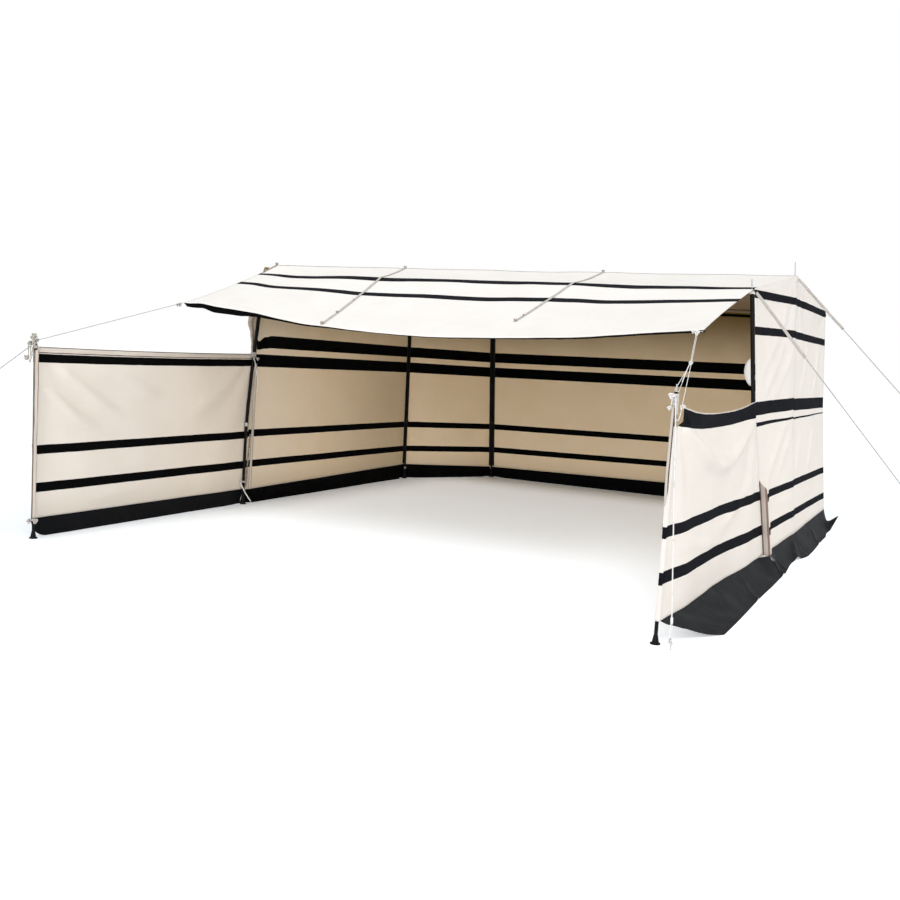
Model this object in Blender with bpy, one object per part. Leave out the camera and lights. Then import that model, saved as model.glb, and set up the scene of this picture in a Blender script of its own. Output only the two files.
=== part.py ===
"""A canvas sun canopy: three walls of a striped windbreak, a ridged roof cloth and its sagging
awning, on black telescopic poles with guy ropes.

Metres, +Z up. The origin is under the foot of the left front pole. +X runs to the right along the
open front, and +Y runs back to the rear wall. Cloth is drawn thicker than it is, as a stand-in.
"""

import math

import bmesh
import bpy
from mathutils import Vector

# Plan of the shelter
WIDTH = 4.71                # left wall to right wall, along the open front
FRONT = 0.10                # the front line is this far behind the left front pole's foot
WALL_DEPTH = 3.10           # front poles to the rear end of the side walls
CORNER_IN = 0.62            # each rear corner is cut off by a slanted bay
CORNER_BACK = 1.10
WING_LENGTH = 2.72          # the low wings run on in front of the roof
RIDGE_BACK = 1.29           # right ridge pole, behind the right front pole
RIGHT_SPREAD = 0.055        # the right wall's rear poles stand wider at the ground
RIGHT_FRONT_SPREAD = 0.025
RIGHT_FRONT_LEAN = 0.18     # and their tops lean in over the shelter
RIDGE_LEAN = 0.083
REAR_LEAN = 0.075
LEFT_LEAN = 0.035           # the left front pole's top leans in, and back
LEFT_LEAN_BACK = 0.14
CORNER_SPREAD = 0.06        # feet of the two rear poles, towards the middle
CORNER_LEAN = 0.07
WING_LEAN = 0.035           # the left wing pole's top leans to the left
RIGHT_WING_IN = 0.01        # the right wing pole stands a little inside, and leans to the right
RIGHT_WING_LEAN = 0.006

# Heights
HEM_HEIGHT = 1.41           # top edge of the left wing
RIGHT_HEM_FRONT = 1.37      # the right wing's top edge sags
RIGHT_HEM_MIDDLE = 1.29
RIGHT_HEM_BACK = 1.31
WING_POLE_HEIGHT = 1.43
EAVES_HEIGHT = 2.17
LEFT_FRONT_HEIGHT = 2.185    # this pole ends just under the roof's left edge
LEFT_FRONT_BOW = 0.07        # and the awning's pull bows it forward
RIDGE_HEIGHT_LEFT = 2.235
RIDGE_HEIGHT_RIGHT = 2.375
SKIRT_HEIGHT = 0.135        # canvas stops here and the black sod cloth carries on
AWNING_LENGTH = 1.20
AWNING_HEIGHT = 1.82        # of its two front corners
AWNING_SAG = 0.15
AWNING_INSET_LEFT = 0.085
AWNING_INSET_RIGHT = 0.235

# Cloth, poles and ropes
CLOTH = 0.005
GAP = 0.003
POLE_RADIUS = 0.016
WING_POLE_RADIUS = 0.013
LOWER_TUBE_SHARE = 0.85     # the lower tube slides inside the upper one
JOIN_HEIGHT = 0.68
FOOT_RADIUS = 0.030
FOOT_DISC = 0.008
FOOT_HEIGHT = 0.055
PIN_RADIUS = 0.0045
PIN_LENGTH = 0.085
RIDGE_PIN_LENGTH = 0.125
SHORT_PIN_LENGTH = 0.02
WING_PIN_LENGTH = 0.045
RIDGE_BAR_RADIUS = 0.012
ROPE_RADIUS = 0.0025
GUY_STRAP_WIDTH = 0.025
GUY_STRAP_LENGTH = 0.68
STRAP_WIDTH = 0.028
STRAP_THICKNESS = 0.003
PEG_RADIUS = 0.007
PEG_HEAD_RADIUS = 0.013
PEG_HEIGHT = 0.07
ROUND_SIDES = 16
ROPE_SIDES = 8

# Sod cloth
SKIRT_BOTTOM = 0.0035       # middle of the cloth where it lies on the ground
SKIRT_INWARD = 0.03
SKIRT_SPREAD = 0.125
SKIRT_SPREAD_FRONT = 0.26
SKIRT_FRONT_SETBACK = 0.48  # its front edge runs back from the wing's foot
SKIRT_CLEAR_OF_POLE = 0.046


def clear_scene():
    for item in list(bpy.data.objects):
        bpy.data.objects.remove(item)


def material(name, colour, roughness, metallic=0.0):
    made = bpy.data.materials.new(name)
    made.use_nodes = True
    shader = made.node_tree.nodes["Principled BSDF"]
    shader.inputs["Base Color"].default_value = (*colour, 1.0)
    shader.inputs["Roughness"].default_value = roughness
    shader.inputs["Metallic"].default_value = metallic
    return made


def link(name, mesh, finish):
    piece = bpy.data.objects.new(name, mesh)
    piece.data.materials.append(finish)
    bpy.context.scene.collection.objects.link(piece)
    return piece


def mix(a, b, share):
    return Vector(a).lerp(Vector(b), share)


def mesh_from(name, points, faces):
    mesh = bpy.data.meshes.new(name)
    mesh.from_pydata([tuple(point) for point in points], [], faces)
    mesh.update()
    return mesh


def cloth_grid(name, rows, finish, thickness=CLOTH):
    """A sheet through rows of points, given its thickness by a Solidify modifier."""
    columns = len(rows[0])
    points = [point for row in rows for point in row]
    faces = []
    for r in range(len(rows) - 1):
        for c in range(columns - 1):
            low = r * columns + c
            high = low + columns
            faces.append((low, low + 1, high + 1))
            faces.append((low, high + 1, high))
    piece = link(name, mesh_from(name, points, faces), finish)
    skin = piece.modifiers.new("Thickness", "SOLIDIFY")
    skin.thickness = thickness
    skin.offset = 0.0
    skin.use_even_offset = True
    return piece


BOW_SHAPE = 0.8             # under 1, the bow is fullest below the pole's middle
BOW_RINGS = (0.95, 1.25, 1.55, 1.85)


class Pole:
    """A telescopic tube on a round foot, with a pin on top. It leans by shearing, so that its foot is flat."""

    def __init__(self, name, foot, top, height, radius, pin, bow=0.0):
        self.name = name
        self.bow = bow
        self.foot = Vector((*foot, 0.0))
        self.top = Vector((*top, height))
        self.radius = radius
        self.pin = pin

    def at(self, height):
        return self.foot.lerp(self.top, height / self.top.z)

    def bowed(self, height):
        """The tube's own middle at a height. A pole that is pulled hard at its top bows forward."""
        share = min(height / self.top.z, 1.0)
        return self.at(height) - Vector((0.0, self.bow * math.sin(math.pi * share**BOW_SHAPE), 0.0))

    def build(self, finish):
        lower = self.radius * LOWER_TUBE_SHARE
        profile = [
            (0.0, FOOT_RADIUS),
            (FOOT_DISC, FOOT_RADIUS),
            (FOOT_DISC, FOOT_RADIUS * 0.72),
            (FOOT_HEIGHT, lower * 1.1),
            (FOOT_HEIGHT, lower),
            (JOIN_HEIGHT, lower),
            (JOIN_HEIGHT, self.radius),
            *[(height, self.radius) for height in BOW_RINGS if self.bow],
            (self.top.z, self.radius),
            (self.top.z, PIN_RADIUS),
            (self.top.z + self.pin, PIN_RADIUS),
        ]
        points = []
        for height, radius in profile:
            middle = self.bowed(height)
            for side in range(ROUND_SIDES):
                angle = math.tau * side / ROUND_SIDES
                points.append(middle + Vector((math.cos(angle), math.sin(angle), 0.0)) * radius)
        faces = [tuple(reversed(range(ROUND_SIDES)))]
        for ring in range(len(profile) - 1):
            for side in range(ROUND_SIDES):
                a = ring * ROUND_SIDES + side
                b = ring * ROUND_SIDES + (side + 1) % ROUND_SIDES
                faces.append((a, b, b + ROUND_SIDES, a + ROUND_SIDES))
        last = (len(profile) - 1) * ROUND_SIDES
        faces.append(tuple(last + side for side in range(ROUND_SIDES)))
        piece = link(self.name, mesh_from(self.name, points, faces), finish)
        piece.data.shade_smooth()
        piece.data.set_sharp_from_angle(angle=math.radians(35))
        return piece


def tube(name, start, end, radius, sides, finish):
    """A straight round bar or taut rope between two points."""
    start, end = Vector(start), Vector(end)
    along = (end - start).normalized()
    across = along.cross(Vector((0.0, 0.0, 1.0))).normalized()
    up = across.cross(along)
    points = []
    for middle in (start, end):
        for side in range(sides):
            angle = math.tau * side / sides
            points.append(middle + (across * math.cos(angle) + up * math.sin(angle)) * radius)
    faces = [tuple(range(sides)), tuple(reversed(range(sides, 2 * sides)))]
    for side in range(sides):
        after = (side + 1) % sides
        faces.append((side, side + sides, after + sides, after))
    piece = link(name, mesh_from(name, points, faces), finish)
    piece.data.shade_smooth()
    piece.data.set_sharp_from_angle(angle=math.radians(50))
    return piece


def strap(name, path, width, across, finish):
    """A flat band of webbing that follows a path of points. across is the direction of its width."""
    side = Vector(across).normalized() * width / 2
    rows = [[Vector(point) - side for point in path], [Vector(point) + side for point in path]]
    return cloth_grid(name, rows, finish, STRAP_THICKNESS)


SQUARE_ENOUGH = 0.1


def outward(a, b):
    """The level direction out of the shelter, across a wall that runs from a to b with the shelter on its
    right. Walls that are nearly square to the front count as square, so that neighbours meet."""
    along = Vector((b.x - a.x, b.y - a.y, 0.0)).normalized()
    if abs(along.x) < SQUARE_ENOUGH:
        along = Vector((0.0, math.copysign(1.0, along.y), 0.0))
    return Vector((-along.y, along.x, 0.0))


def wall(name, first, last, highs, finish, between=(), flare=(0.0, 0.0), reach=(0.0, 0.0)):
    """Canvas from one pole to the next, outside both. highs are its top heights at the two poles, and
    between holds extra top points as (share along the wall, height). flare pushes the lower edge out at
    each end, and reach takes the far end on past its pole, at its lower and its upper corner."""
    out = outward(first.foot, last.foot)
    away = out * (max(first.radius, last.radius) + CLOTH / 2 + GAP)
    along = (last.foot - first.foot).normalized()
    start_shift = away + along * GAP
    low_end_shift = away - along * (GAP - reach[0])
    high_end_shift = away - along * (GAP - reach[1])
    lower, upper = [], []
    for share, high in [(0.0, highs[0]), *between, (1.0, highs[1])]:
        low_start = first.at(SKIRT_HEIGHT) + start_shift + out * flare[0]
        low_end = last.at(SKIRT_HEIGHT) + low_end_shift + out * flare[1]
        lower.append(low_start.lerp(low_end, share))
        upper.append((first.at(high) + start_shift).lerp(last.at(high) + high_end_shift, share))
    return cloth_grid(name, [lower, upper], finish)


def hanging_skirt(name, first, last, finish):
    """Sod cloth under a wall, hanging from its lower edge and turned a little inward."""
    out = outward(first.foot, last.foot)
    away = out * (max(first.radius, last.radius) + CLOTH / 2 + GAP)
    clear = (last.foot - first.foot).normalized() * SKIRT_CLEAR_OF_POLE
    upper, lower = [], []
    for pole, shift in ((first, clear), (last, -clear)):
        top = pole.at(SKIRT_HEIGHT - GAP) + away + shift
        upper.append(top)
        lower.append(Vector((top.x, top.y, SKIRT_BOTTOM)) - out * SKIRT_INWARD)
    return cloth_grid(name, [lower, upper], finish)


def spread_skirt(name, first, last, finish, flare, spread, setback=0.0):
    """Sod cloth that runs from a wall's flared lower edge out over the ground. setback draws in its last corner."""
    out = outward(first.foot, last.foot)
    away = max(first.radius, last.radius) + CLOTH / 2 + GAP
    along = out.cross(Vector((0.0, 0.0, 1.0)))
    upper, lower = [], []
    for end, pole in enumerate((first, last)):
        shift = along * (GAP if end == 0 else -GAP)
        top = pole.at(SKIRT_HEIGHT - GAP) + out * (away + flare[end]) + shift
        upper.append(top)
        lower.append(Vector((top.x, top.y, SKIRT_BOTTOM)) + out * spread[end])
    lower[1] -= along * setback
    return cloth_grid(name, [lower, upper], finish)


def peg(name, place, finish):
    """The exposed head of a ground peg: a short stake with a wider cap."""
    profile = [
        (0.0, PEG_RADIUS),
        (PEG_HEIGHT * 0.8, PEG_RADIUS),
        (PEG_HEIGHT * 0.8, PEG_HEAD_RADIUS),
        (PEG_HEIGHT, PEG_HEAD_RADIUS * 0.8),
    ]
    mesh = bpy.data.meshes.new(name)
    shape = bmesh.new()
    edges = []
    line = [shape.verts.new((0.0, 0.0, 0.0))]
    line += [shape.verts.new((radius, 0.0, height)) for height, radius in profile]
    line.append(shape.verts.new((0.0, 0.0, PEG_HEIGHT)))
    for a, b in zip(line, line[1:]):
        edges.append(shape.edges.new((a, b)))
    bmesh.ops.spin(
        shape, geom=line + edges, cent=(0, 0, 0), axis=(0, 0, 1), angle=math.tau, steps=12, use_merge=True
    )
    bmesh.ops.remove_doubles(shape, verts=shape.verts, dist=1e-5)
    bmesh.ops.recalc_face_normals(shape, faces=shape.faces)
    shape.to_mesh(mesh)
    shape.free()
    piece = link(name, mesh, finish)
    piece.location = (*place, 0.0)
    return piece


clear_scene()

canvas = material("cream_canvas", (0.80, 0.74, 0.64), 0.85)
sod = material("black_sod_cloth", (0.02, 0.021, 0.024), 0.7)
tube_black = material("black_tube", (0.012, 0.012, 0.013), 0.35)
webbing = material("beige_webbing", (0.55, 0.48, 0.42), 0.9)
cord = material("white_rope", (0.85, 0.84, 0.82), 0.8)
steel = material("peg_steel", (0.45, 0.45, 0.46), 0.4, 1.0)

# Poles
wing_end = FRONT - WING_LENGTH
rear_end = FRONT + WALL_DEPTH
rear = rear_end + CORNER_BACK
right_foot = WIDTH + RIGHT_SPREAD
left_wing_pole = Pole(
    "left_wing_pole", (0, wing_end), (-WING_LEAN, wing_end), WING_POLE_HEIGHT, WING_POLE_RADIUS, WING_PIN_LENGTH
)
left_front_pole = Pole(
    "left_front_pole",
    (0, 0),
    (LEFT_LEAN, LEFT_LEAN_BACK),
    LEFT_FRONT_HEIGHT,
    POLE_RADIUS,
    SHORT_PIN_LENGTH,
    LEFT_FRONT_BOW,
)
left_rear_pole = Pole(
    "left_rear_pole", (0.03, rear_end), (-0.01, rear_end), EAVES_HEIGHT, POLE_RADIUS, SHORT_PIN_LENGTH
)
rear_left_pole = Pole(
    "rear_left_pole",
    (CORNER_IN + CORNER_SPREAD, rear),
    (CORNER_IN - CORNER_LEAN, rear),
    EAVES_HEIGHT,
    POLE_RADIUS,
    SHORT_PIN_LENGTH,
)
rear_right_pole = Pole(
    "rear_right_pole",
    (WIDTH - CORNER_IN + CORNER_SPREAD, rear),
    (WIDTH - CORNER_IN - CORNER_LEAN, rear),
    EAVES_HEIGHT,
    POLE_RADIUS,
    SHORT_PIN_LENGTH,
)
right_rear_pole = Pole(
    "right_rear_pole",
    (right_foot, rear_end),
    (WIDTH - REAR_LEAN, rear_end),
    EAVES_HEIGHT,
    POLE_RADIUS,
    SHORT_PIN_LENGTH,
)
right_ridge_pole = Pole(
    "right_ridge_pole",
    (right_foot, FRONT + RIDGE_BACK),
    (WIDTH - RIDGE_LEAN, FRONT + RIDGE_BACK),
    RIDGE_HEIGHT_RIGHT,
    POLE_RADIUS,
    RIDGE_PIN_LENGTH,
)
right_front_pole = Pole(
    "right_front_pole",
    (WIDTH + RIGHT_FRONT_SPREAD, FRONT),
    (WIDTH - RIGHT_FRONT_LEAN, FRONT),
    EAVES_HEIGHT,
    POLE_RADIUS,
    PIN_LENGTH,
)
right_wing_pole = Pole(
    "right_wing_pole",
    (WIDTH - RIGHT_WING_IN, wing_end),
    (WIDTH - RIGHT_WING_IN + RIGHT_WING_LEAN, wing_end),
    WING_POLE_HEIGHT,
    WING_POLE_RADIUS,
    WING_PIN_LENGTH,
)
poles = [
    left_wing_pole,
    left_front_pole,
    left_rear_pole,
    rear_left_pole,
    rear_right_pole,
    right_rear_pole,
    right_ridge_pole,
    right_front_pole,
    right_wing_pole,
]
for pole in poles:
    pole.build(tube_black)

# The ridge bar lies over the left front pole and against the right ridge pole, under the roof cloth
BAR_DROP = 0.025
BAR_INSET = 0.065
ridge_start = Vector((left_front_pole.top.x, left_front_pole.top.y, RIDGE_HEIGHT_LEFT))
bar_line = (right_ridge_pole.top - ridge_start).normalized()
drop = Vector((0, 0, -BAR_DROP))
tube(
    "ridge_bar",
    ridge_start + drop + bar_line * BAR_INSET,
    right_ridge_pole.top + drop - bar_line * (POLE_RADIUS + GAP),
    RIDGE_BAR_RADIUS,
    ROUND_SIDES,
    tube_black,
)

# Walls, from the left wing round to the right one
WALL_TOP = EAVES_HEIGHT - 0.01
LEFT_RIDGE_TOP = LEFT_FRONT_HEIGHT - 0.005
RIGHT_RIDGE_TOP = RIDGE_HEIGHT_RIGHT - 0.01
FLARE_REAR = 0.02           # the right wall's lower edge stands out from its poles
FLARE_RIDGE = 0.04
FLARE_FRONT = 0.10
WING_FLARE = 0.045          # the wing's edge stands nearer, and a zip tape closes the gap
WING_REACH = (0.02, 0.03)   # the right wing's canvas runs on past its pole, low down and at the top
wall("left_wing", left_wing_pole, left_front_pole, (HEM_HEIGHT, HEM_HEIGHT), canvas)
wall("left_wall", left_front_pole, left_rear_pole, (LEFT_RIDGE_TOP, WALL_TOP), canvas)
wall("rear_left_wall", left_rear_pole, rear_left_pole, (WALL_TOP, WALL_TOP), canvas)
wall("rear_wall", rear_left_pole, rear_right_pole, (WALL_TOP, WALL_TOP), canvas)
wall("rear_right_wall", rear_right_pole, right_rear_pole, (WALL_TOP, WALL_TOP), canvas)
wall(
    "right_rear_wall",
    right_rear_pole,
    right_ridge_pole,
    (WALL_TOP, RIGHT_RIDGE_TOP),
    canvas,
    flare=(FLARE_REAR, FLARE_RIDGE),
)
wall(
    "right_front_wall",
    right_ridge_pole,
    right_front_pole,
    (RIGHT_RIDGE_TOP, WALL_TOP),
    canvas,
    flare=(FLARE_RIDGE, FLARE_FRONT),
)
wall(
    "right_wing",
    right_front_pole,
    right_wing_pole,
    (RIGHT_HEM_BACK, RIGHT_HEM_FRONT),
    canvas,
    between=[(0.5, RIGHT_HEM_MIDDLE)],
    flare=(WING_FLARE, 0.0),
    reach=WING_REACH,
)

# Sod cloth: hanging on the left and at the rear, spread on the ground outside the right wall
hanging_skirt("left_wing_sod_cloth", left_wing_pole, left_front_pole, sod)
hanging_skirt("left_wall_sod_cloth", left_front_pole, left_rear_pole, sod)
hanging_skirt("rear_left_sod_cloth", left_rear_pole, rear_left_pole, sod)
hanging_skirt("rear_sod_cloth", rear_left_pole, rear_right_pole, sod)
hanging_skirt("rear_right_sod_cloth", rear_right_pole, right_rear_pole, sod)
spread_skirt(
    "right_rear_sod_cloth",
    right_rear_pole,
    right_ridge_pole,
    sod,
    (FLARE_REAR, FLARE_RIDGE),
    (SKIRT_SPREAD, SKIRT_SPREAD),
)
spread_skirt(
    "right_front_sod_cloth",
    right_ridge_pole,
    right_front_pole,
    sod,
    (FLARE_RIDGE, FLARE_FRONT),
    (SKIRT_SPREAD, SKIRT_SPREAD),
)
spread_skirt(
    "right_wing_sod_cloth",
    right_front_pole,
    right_wing_pole,
    sod,
    (WING_FLARE, 0.0),
    (SKIRT_SPREAD + FLARE_FRONT - WING_FLARE, SKIRT_SPREAD_FRONT),
    SKIRT_FRONT_SETBACK,
)

# Roof cloth. Its edges stay inside the pole tops
ROOF_INSET = POLE_RADIUS + 0.004
ROOF_RISE = 0.006
EDGE_STEPS = 12


def roof_point(pole, height, inward):
    step = Vector((*inward, 0.0)).normalized() * ROOF_INSET
    point = pole.top + step
    return Vector((point.x, point.y, height + ROOF_RISE))


ridge_left = roof_point(left_front_pole, RIDGE_HEIGHT_LEFT, (1, 0.6)) + bar_line * 0.05
ridge_right = roof_point(right_ridge_pole, RIDGE_HEIGHT_RIGHT, (-1, 0))
eaves = [
    roof_point(left_rear_pole, EAVES_HEIGHT, (1, -0.2)),
    roof_point(rear_left_pole, EAVES_HEIGHT, (0.6, -1)),
    roof_point(rear_right_pole, EAVES_HEIGHT, (-0.6, -1)),
    roof_point(right_rear_pole, EAVES_HEIGHT, (-1, -0.2)),
]
ridge_shares = [0.0, 0.16, 0.84, 1.0]
cloth_grid("rear_roof", [eaves, [mix(ridge_left, ridge_right, share) for share in ridge_shares]], canvas)

FRONT_LINE_LEFT = (0.09, FRONT - 0.12, 2.145)
front_left = Vector(FRONT_LINE_LEFT)
front_right = roof_point(right_front_pole, EAVES_HEIGHT, (-1, 0))
seam = Vector((0, -GAP, 0))
shares = [step / EDGE_STEPS for step in range(EDGE_STEPS + 1)]
front_line = [mix(front_left, front_right, share) for share in shares]
ridge_line = [mix(ridge_left, ridge_right, share) + seam for share in shares]
cloth_grid("front_roof", [front_line, ridge_line], canvas)

awning_left = Vector((AWNING_INSET_LEFT, FRONT - AWNING_LENGTH, AWNING_HEIGHT))
awning_right = Vector((WIDTH - AWNING_INSET_RIGHT, FRONT - AWNING_LENGTH, AWNING_HEIGHT))
AWNING_ROWS = 4


def awning_point(share, forward):
    """A point of the awning, by its share of the width and how far it is towards the front edge."""
    point = mix(front_left, front_right, share).lerp(mix(awning_left, awning_right, share), forward)
    point.z -= AWNING_SAG * forward * math.sin(math.pi * share)
    return point


def awning_row(forward):
    return [awning_point(share, forward) + seam for share in shares]


awning_rows = [awning_row(step / AWNING_ROWS) for step in range(AWNING_ROWS + 1)]
cloth_grid("awning", list(reversed(awning_rows)), canvas)

# Two webbing straps laid over the roof, from the ridge to the front edge
STRAP_LIFT = 0.012


def roof_strap(name, ridge_share, line_share, end_share, reach):
    """A strap from the ridge down the front slope. The shares say how far along it crosses the ridge, the
    front poles' line and its own end, and reach is how much of the awning it crosses."""
    path = [mix(ridge_left, ridge_right, ridge_share)]
    for step in range(AWNING_ROWS + 1):
        part = step / AWNING_ROWS
        path.append(awning_point(line_share + (end_share - line_share) * part, reach * part))
    return strap(name, [point + Vector((0, 0, STRAP_LIFT)) for point in path], STRAP_WIDTH, (1, 0.05, 0), webbing)


roof_strap("left_roof_strap", 0.265, 0.282, 0.305, 0.99)
roof_strap("right_roof_strap", 0.648, 0.677, 0.649, 0.70)

# Webbing edge strips beside the poles of the openings
EDGE_STRIP_WIDTH = 0.03


def edge_strip(name, pole, low, high, beside, across, beside_top=None):
    """A strip that stands beside a pole. across is the level direction of its width."""
    path = [pole.at(low) + Vector((*beside, 0.0)), pole.at(high) + Vector((*(beside_top or beside), 0.0))]
    return strap(name, path, EDGE_STRIP_WIDTH, (*across, 0), webbing)


edge_strip("left_wing_edge_strip", left_wing_pole, 0.14, HEM_HEIGHT - 0.01, (0.0205, -0.005), (0.71, 0.70))
edge_strip("left_front_edge_strip", left_front_pole, 0.14, 1.30, (0.020, 0.055), (0.45, 0.89), (0.022, -0.020))
edge_strip("right_front_edge_strip", right_front_pole, 0.14, 0.70, (0.078, 0.0), (1, 0))

# Taut ropes and their pegs
ROPE_CLEAR = 0.004


def peg_top(place):
    return Vector((*place, PEG_HEIGHT + ROPE_CLEAR))


def guy(name, pole, place, clear=0.030):
    """A rope from just off the top of the pole's side to just over its peg."""
    peg(name + "_peg", place, steel)
    start = pole.at(pole.top.z - 0.015)
    end = peg_top(place)
    level = Vector((end.x - start.x, end.y - start.y, 0.0)).normalized()
    return start + level * clear, end


def rope(name, ends):
    return tube(name, ends[0], ends[1], ROPE_RADIUS, ROPE_SIDES, cord)


def strapped_guy(name, pole, place):
    """A guy whose upper end is a flat webbing strap and whose lower end is rope."""
    start, end = guy(name, pole, place)
    along = (end - start).normalized()
    joint = start + along * GUY_STRAP_LENGTH
    across = along.cross(Vector((0, 0, 1)))
    strap(name + "_strap", [start, joint], GUY_STRAP_WIDTH, across, webbing)
    return rope(name, (joint + along * 0.003, end))


rope("left_wing_guy", guy("left_wing_guy", left_wing_pole, (-1.245, -3.65)))
strapped_guy("right_front_guy", right_front_pole, (6.305, 0.40))
strapped_guy("right_ridge_guy", right_ridge_pole, (6.885, 1.60))
rope("right_wing_guy", guy("right_wing_guy", right_wing_pole, (WIDTH + 0.10, wing_end - 0.08), clear=0.05))
rope("rear_left_guy", guy("rear_left_guy", rear_left_pole, (0.45, 5.60)))
rope("rear_right_guy", guy("rear_right_guy", rear_right_pole, (WIDTH - 0.45, 5.60)))


def awning_rope(name, corner, pole):
    along = (pole.top - corner).normalized()
    return rope(name, (corner + along * 0.012, pole.top - along * (pole.radius + 2 * GAP) - Vector((0, 0, 0.012))))


awning_rope("left_awning_rope", awning_left, left_wing_pole)
awning_rope("right_awning_rope", awning_right, right_wing_pole)
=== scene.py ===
# %% [markdown]
# # A striped canvas sun canopy
#
# The shelter is a strip of striped canvas that stands on black poles and closes three sides, with a
# ridged roof cloth that runs on in front as a sagging awning. Two low wings carry the side walls
# forward. Black sod cloth closes the gap at the ground, and taut guy ropes hold the pole tops.
#
# The poles, pegs and the main planes already exist as a CAD model. This lesson dresses that model:
# each cloth is rebuilt as a thin sheet with folds, and each finish is built from shader nodes.

# %% Load the frame
import math

import bpy
from mathutils import Matrix, Vector, noise


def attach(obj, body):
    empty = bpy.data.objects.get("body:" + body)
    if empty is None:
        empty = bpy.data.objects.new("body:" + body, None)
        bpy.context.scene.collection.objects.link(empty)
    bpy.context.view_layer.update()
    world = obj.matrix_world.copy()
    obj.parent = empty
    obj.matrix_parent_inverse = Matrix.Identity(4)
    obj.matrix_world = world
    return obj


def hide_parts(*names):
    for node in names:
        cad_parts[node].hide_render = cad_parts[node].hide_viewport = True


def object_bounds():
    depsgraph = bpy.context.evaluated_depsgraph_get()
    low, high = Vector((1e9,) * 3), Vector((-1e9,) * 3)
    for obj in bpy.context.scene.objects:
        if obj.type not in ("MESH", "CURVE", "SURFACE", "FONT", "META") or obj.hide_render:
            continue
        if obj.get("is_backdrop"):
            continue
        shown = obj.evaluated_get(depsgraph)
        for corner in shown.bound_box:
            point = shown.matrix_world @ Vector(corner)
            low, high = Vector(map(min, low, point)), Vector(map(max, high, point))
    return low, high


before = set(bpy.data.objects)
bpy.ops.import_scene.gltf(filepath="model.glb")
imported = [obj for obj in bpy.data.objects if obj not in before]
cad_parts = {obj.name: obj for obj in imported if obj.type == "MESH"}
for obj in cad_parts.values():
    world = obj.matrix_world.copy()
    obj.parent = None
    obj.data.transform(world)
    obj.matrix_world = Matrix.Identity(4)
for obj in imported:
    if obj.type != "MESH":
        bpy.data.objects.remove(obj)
cad_low, cad_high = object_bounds()
print("CAD box, metres:", [round(b - a, 3) for a, b in zip(cad_low, cad_high)])

# %% [markdown]
# ## The camera
#
# The camera stands at eye level, in front of the shelter and to the right, and looks left and a
# little down. A longer lens would flatten the walls, and a wider one would stretch the right wing,
# so the lens is the one that the converging stripes ask for.

# %% Camera
CAMERA_PLACE = (6.351, -9.02, 1.62)
CAMERA_TURN = 25.177
CAMERA_DOWN = 5.204
CAMERA_ROLL = 3.614
SENSOR = 36.0
LENS = 46.7
FARTHEST_SEEN = 200.0

camera = bpy.data.objects.new("camera", bpy.data.cameras.new("camera"))
bpy.context.scene.collection.objects.link(camera)
bpy.context.scene.camera = camera
camera.data.sensor_width = SENSOR
camera.data.lens = LENS
camera.data.clip_end = FARTHEST_SEEN
aim = Matrix.Rotation(math.radians(CAMERA_TURN), 4, "Z")
aim = aim @ Matrix.Rotation(math.radians(90.0 - CAMERA_DOWN), 4, "X")
aim = aim @ Matrix.Rotation(math.radians(CAMERA_ROLL), 4, "Z")
camera.matrix_world = Matrix.Translation(CAMERA_PLACE) @ aim
print("camera height:", CAMERA_PLACE[2])

# %% [markdown]
# ## Shader recipes
#
# A finish is a small tree of nodes that ends in one Principled shader. Typing the same three lines
# for every node hides what the tree does, so a short class adds a node, sets or links its inputs,
# and hands back its output.


# %% A recipe for a finish
class Recipe:
    """One material. step() adds a node and gives back one of its outputs."""

    def __init__(self, name, roughness, metallic=0.0, gloss=0.5):
        self.material = bpy.data.materials.new(name)
        self.material.use_nodes = True
        self.tree = self.material.node_tree
        self.shader = self.tree.nodes["Principled BSDF"]
        self.shader.inputs["Roughness"].default_value = roughness
        self.shader.inputs["Metallic"].default_value = metallic
        self.shader.inputs["Specular IOR Level"].default_value = gloss

    def step(self, kind, inputs=(), output=0, **settings):
        node = self.tree.nodes.new(kind)
        for key, value in settings.items():
            setattr(node, key, value)
        for key, value in dict(inputs).items():
            self.feed(node.inputs[key], value)
        return node.outputs[output]

    def feed(self, socket, value):
        if isinstance(value, bpy.types.NodeSocket):
            self.tree.links.new(value, socket)
        elif socket.type == "RGBA":
            socket.default_value = (*value, 1.0)
        else:
            socket.default_value = value

    def metres(self):
        """The place on a cloth, in metres along it and up it."""
        return self.step("ShaderNodeUVMap", uv_map="metres")

    def axis(self, place, number):
        return self.step("ShaderNodeSeparateXYZ", {0: place}, output=number)

    def math(self, operation, a, b=0.0, c=0.0):
        return self.step("ShaderNodeMath", {0: a, 1: b, 2: c}, operation=operation)

    def blend(self, share, a, b):
        return self.step("ShaderNodeMix", {0: share, 6: a, 7: b}, output=2, data_type="RGBA")

    def noise(self, place, scale, detail=2.0):
        return self.step("ShaderNodeTexNoise", {"Vector": place, "Scale": scale, "Detail": detail})

    def stretched_noise(self, place, sizes, detail):
        stretched = self.step("ShaderNodeMapping", {"Vector": place, "Scale": sizes})
        return self.noise(stretched, 1.0, detail)

    def ramp(self, value, low, high):
        return self.step("ShaderNodeMapRange", {0: value, 1: low, 2: high}, interpolation_type="SMOOTHSTEP")

    def bump(self, height, strength, distance, below=None):
        inputs = {"Height": height, "Strength": strength, "Distance": distance}
        if below is not None:
            inputs["Normal"] = below
        return self.step("ShaderNodeBump", inputs)

    def finish(self, colour, relief):
        """Links the colour and the relief to the shader, and hands back the material."""
        self.feed(self.shader.inputs["Base Color"], colour)
        self.feed(self.shader.inputs["Normal"], relief)
        return self.material


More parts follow.
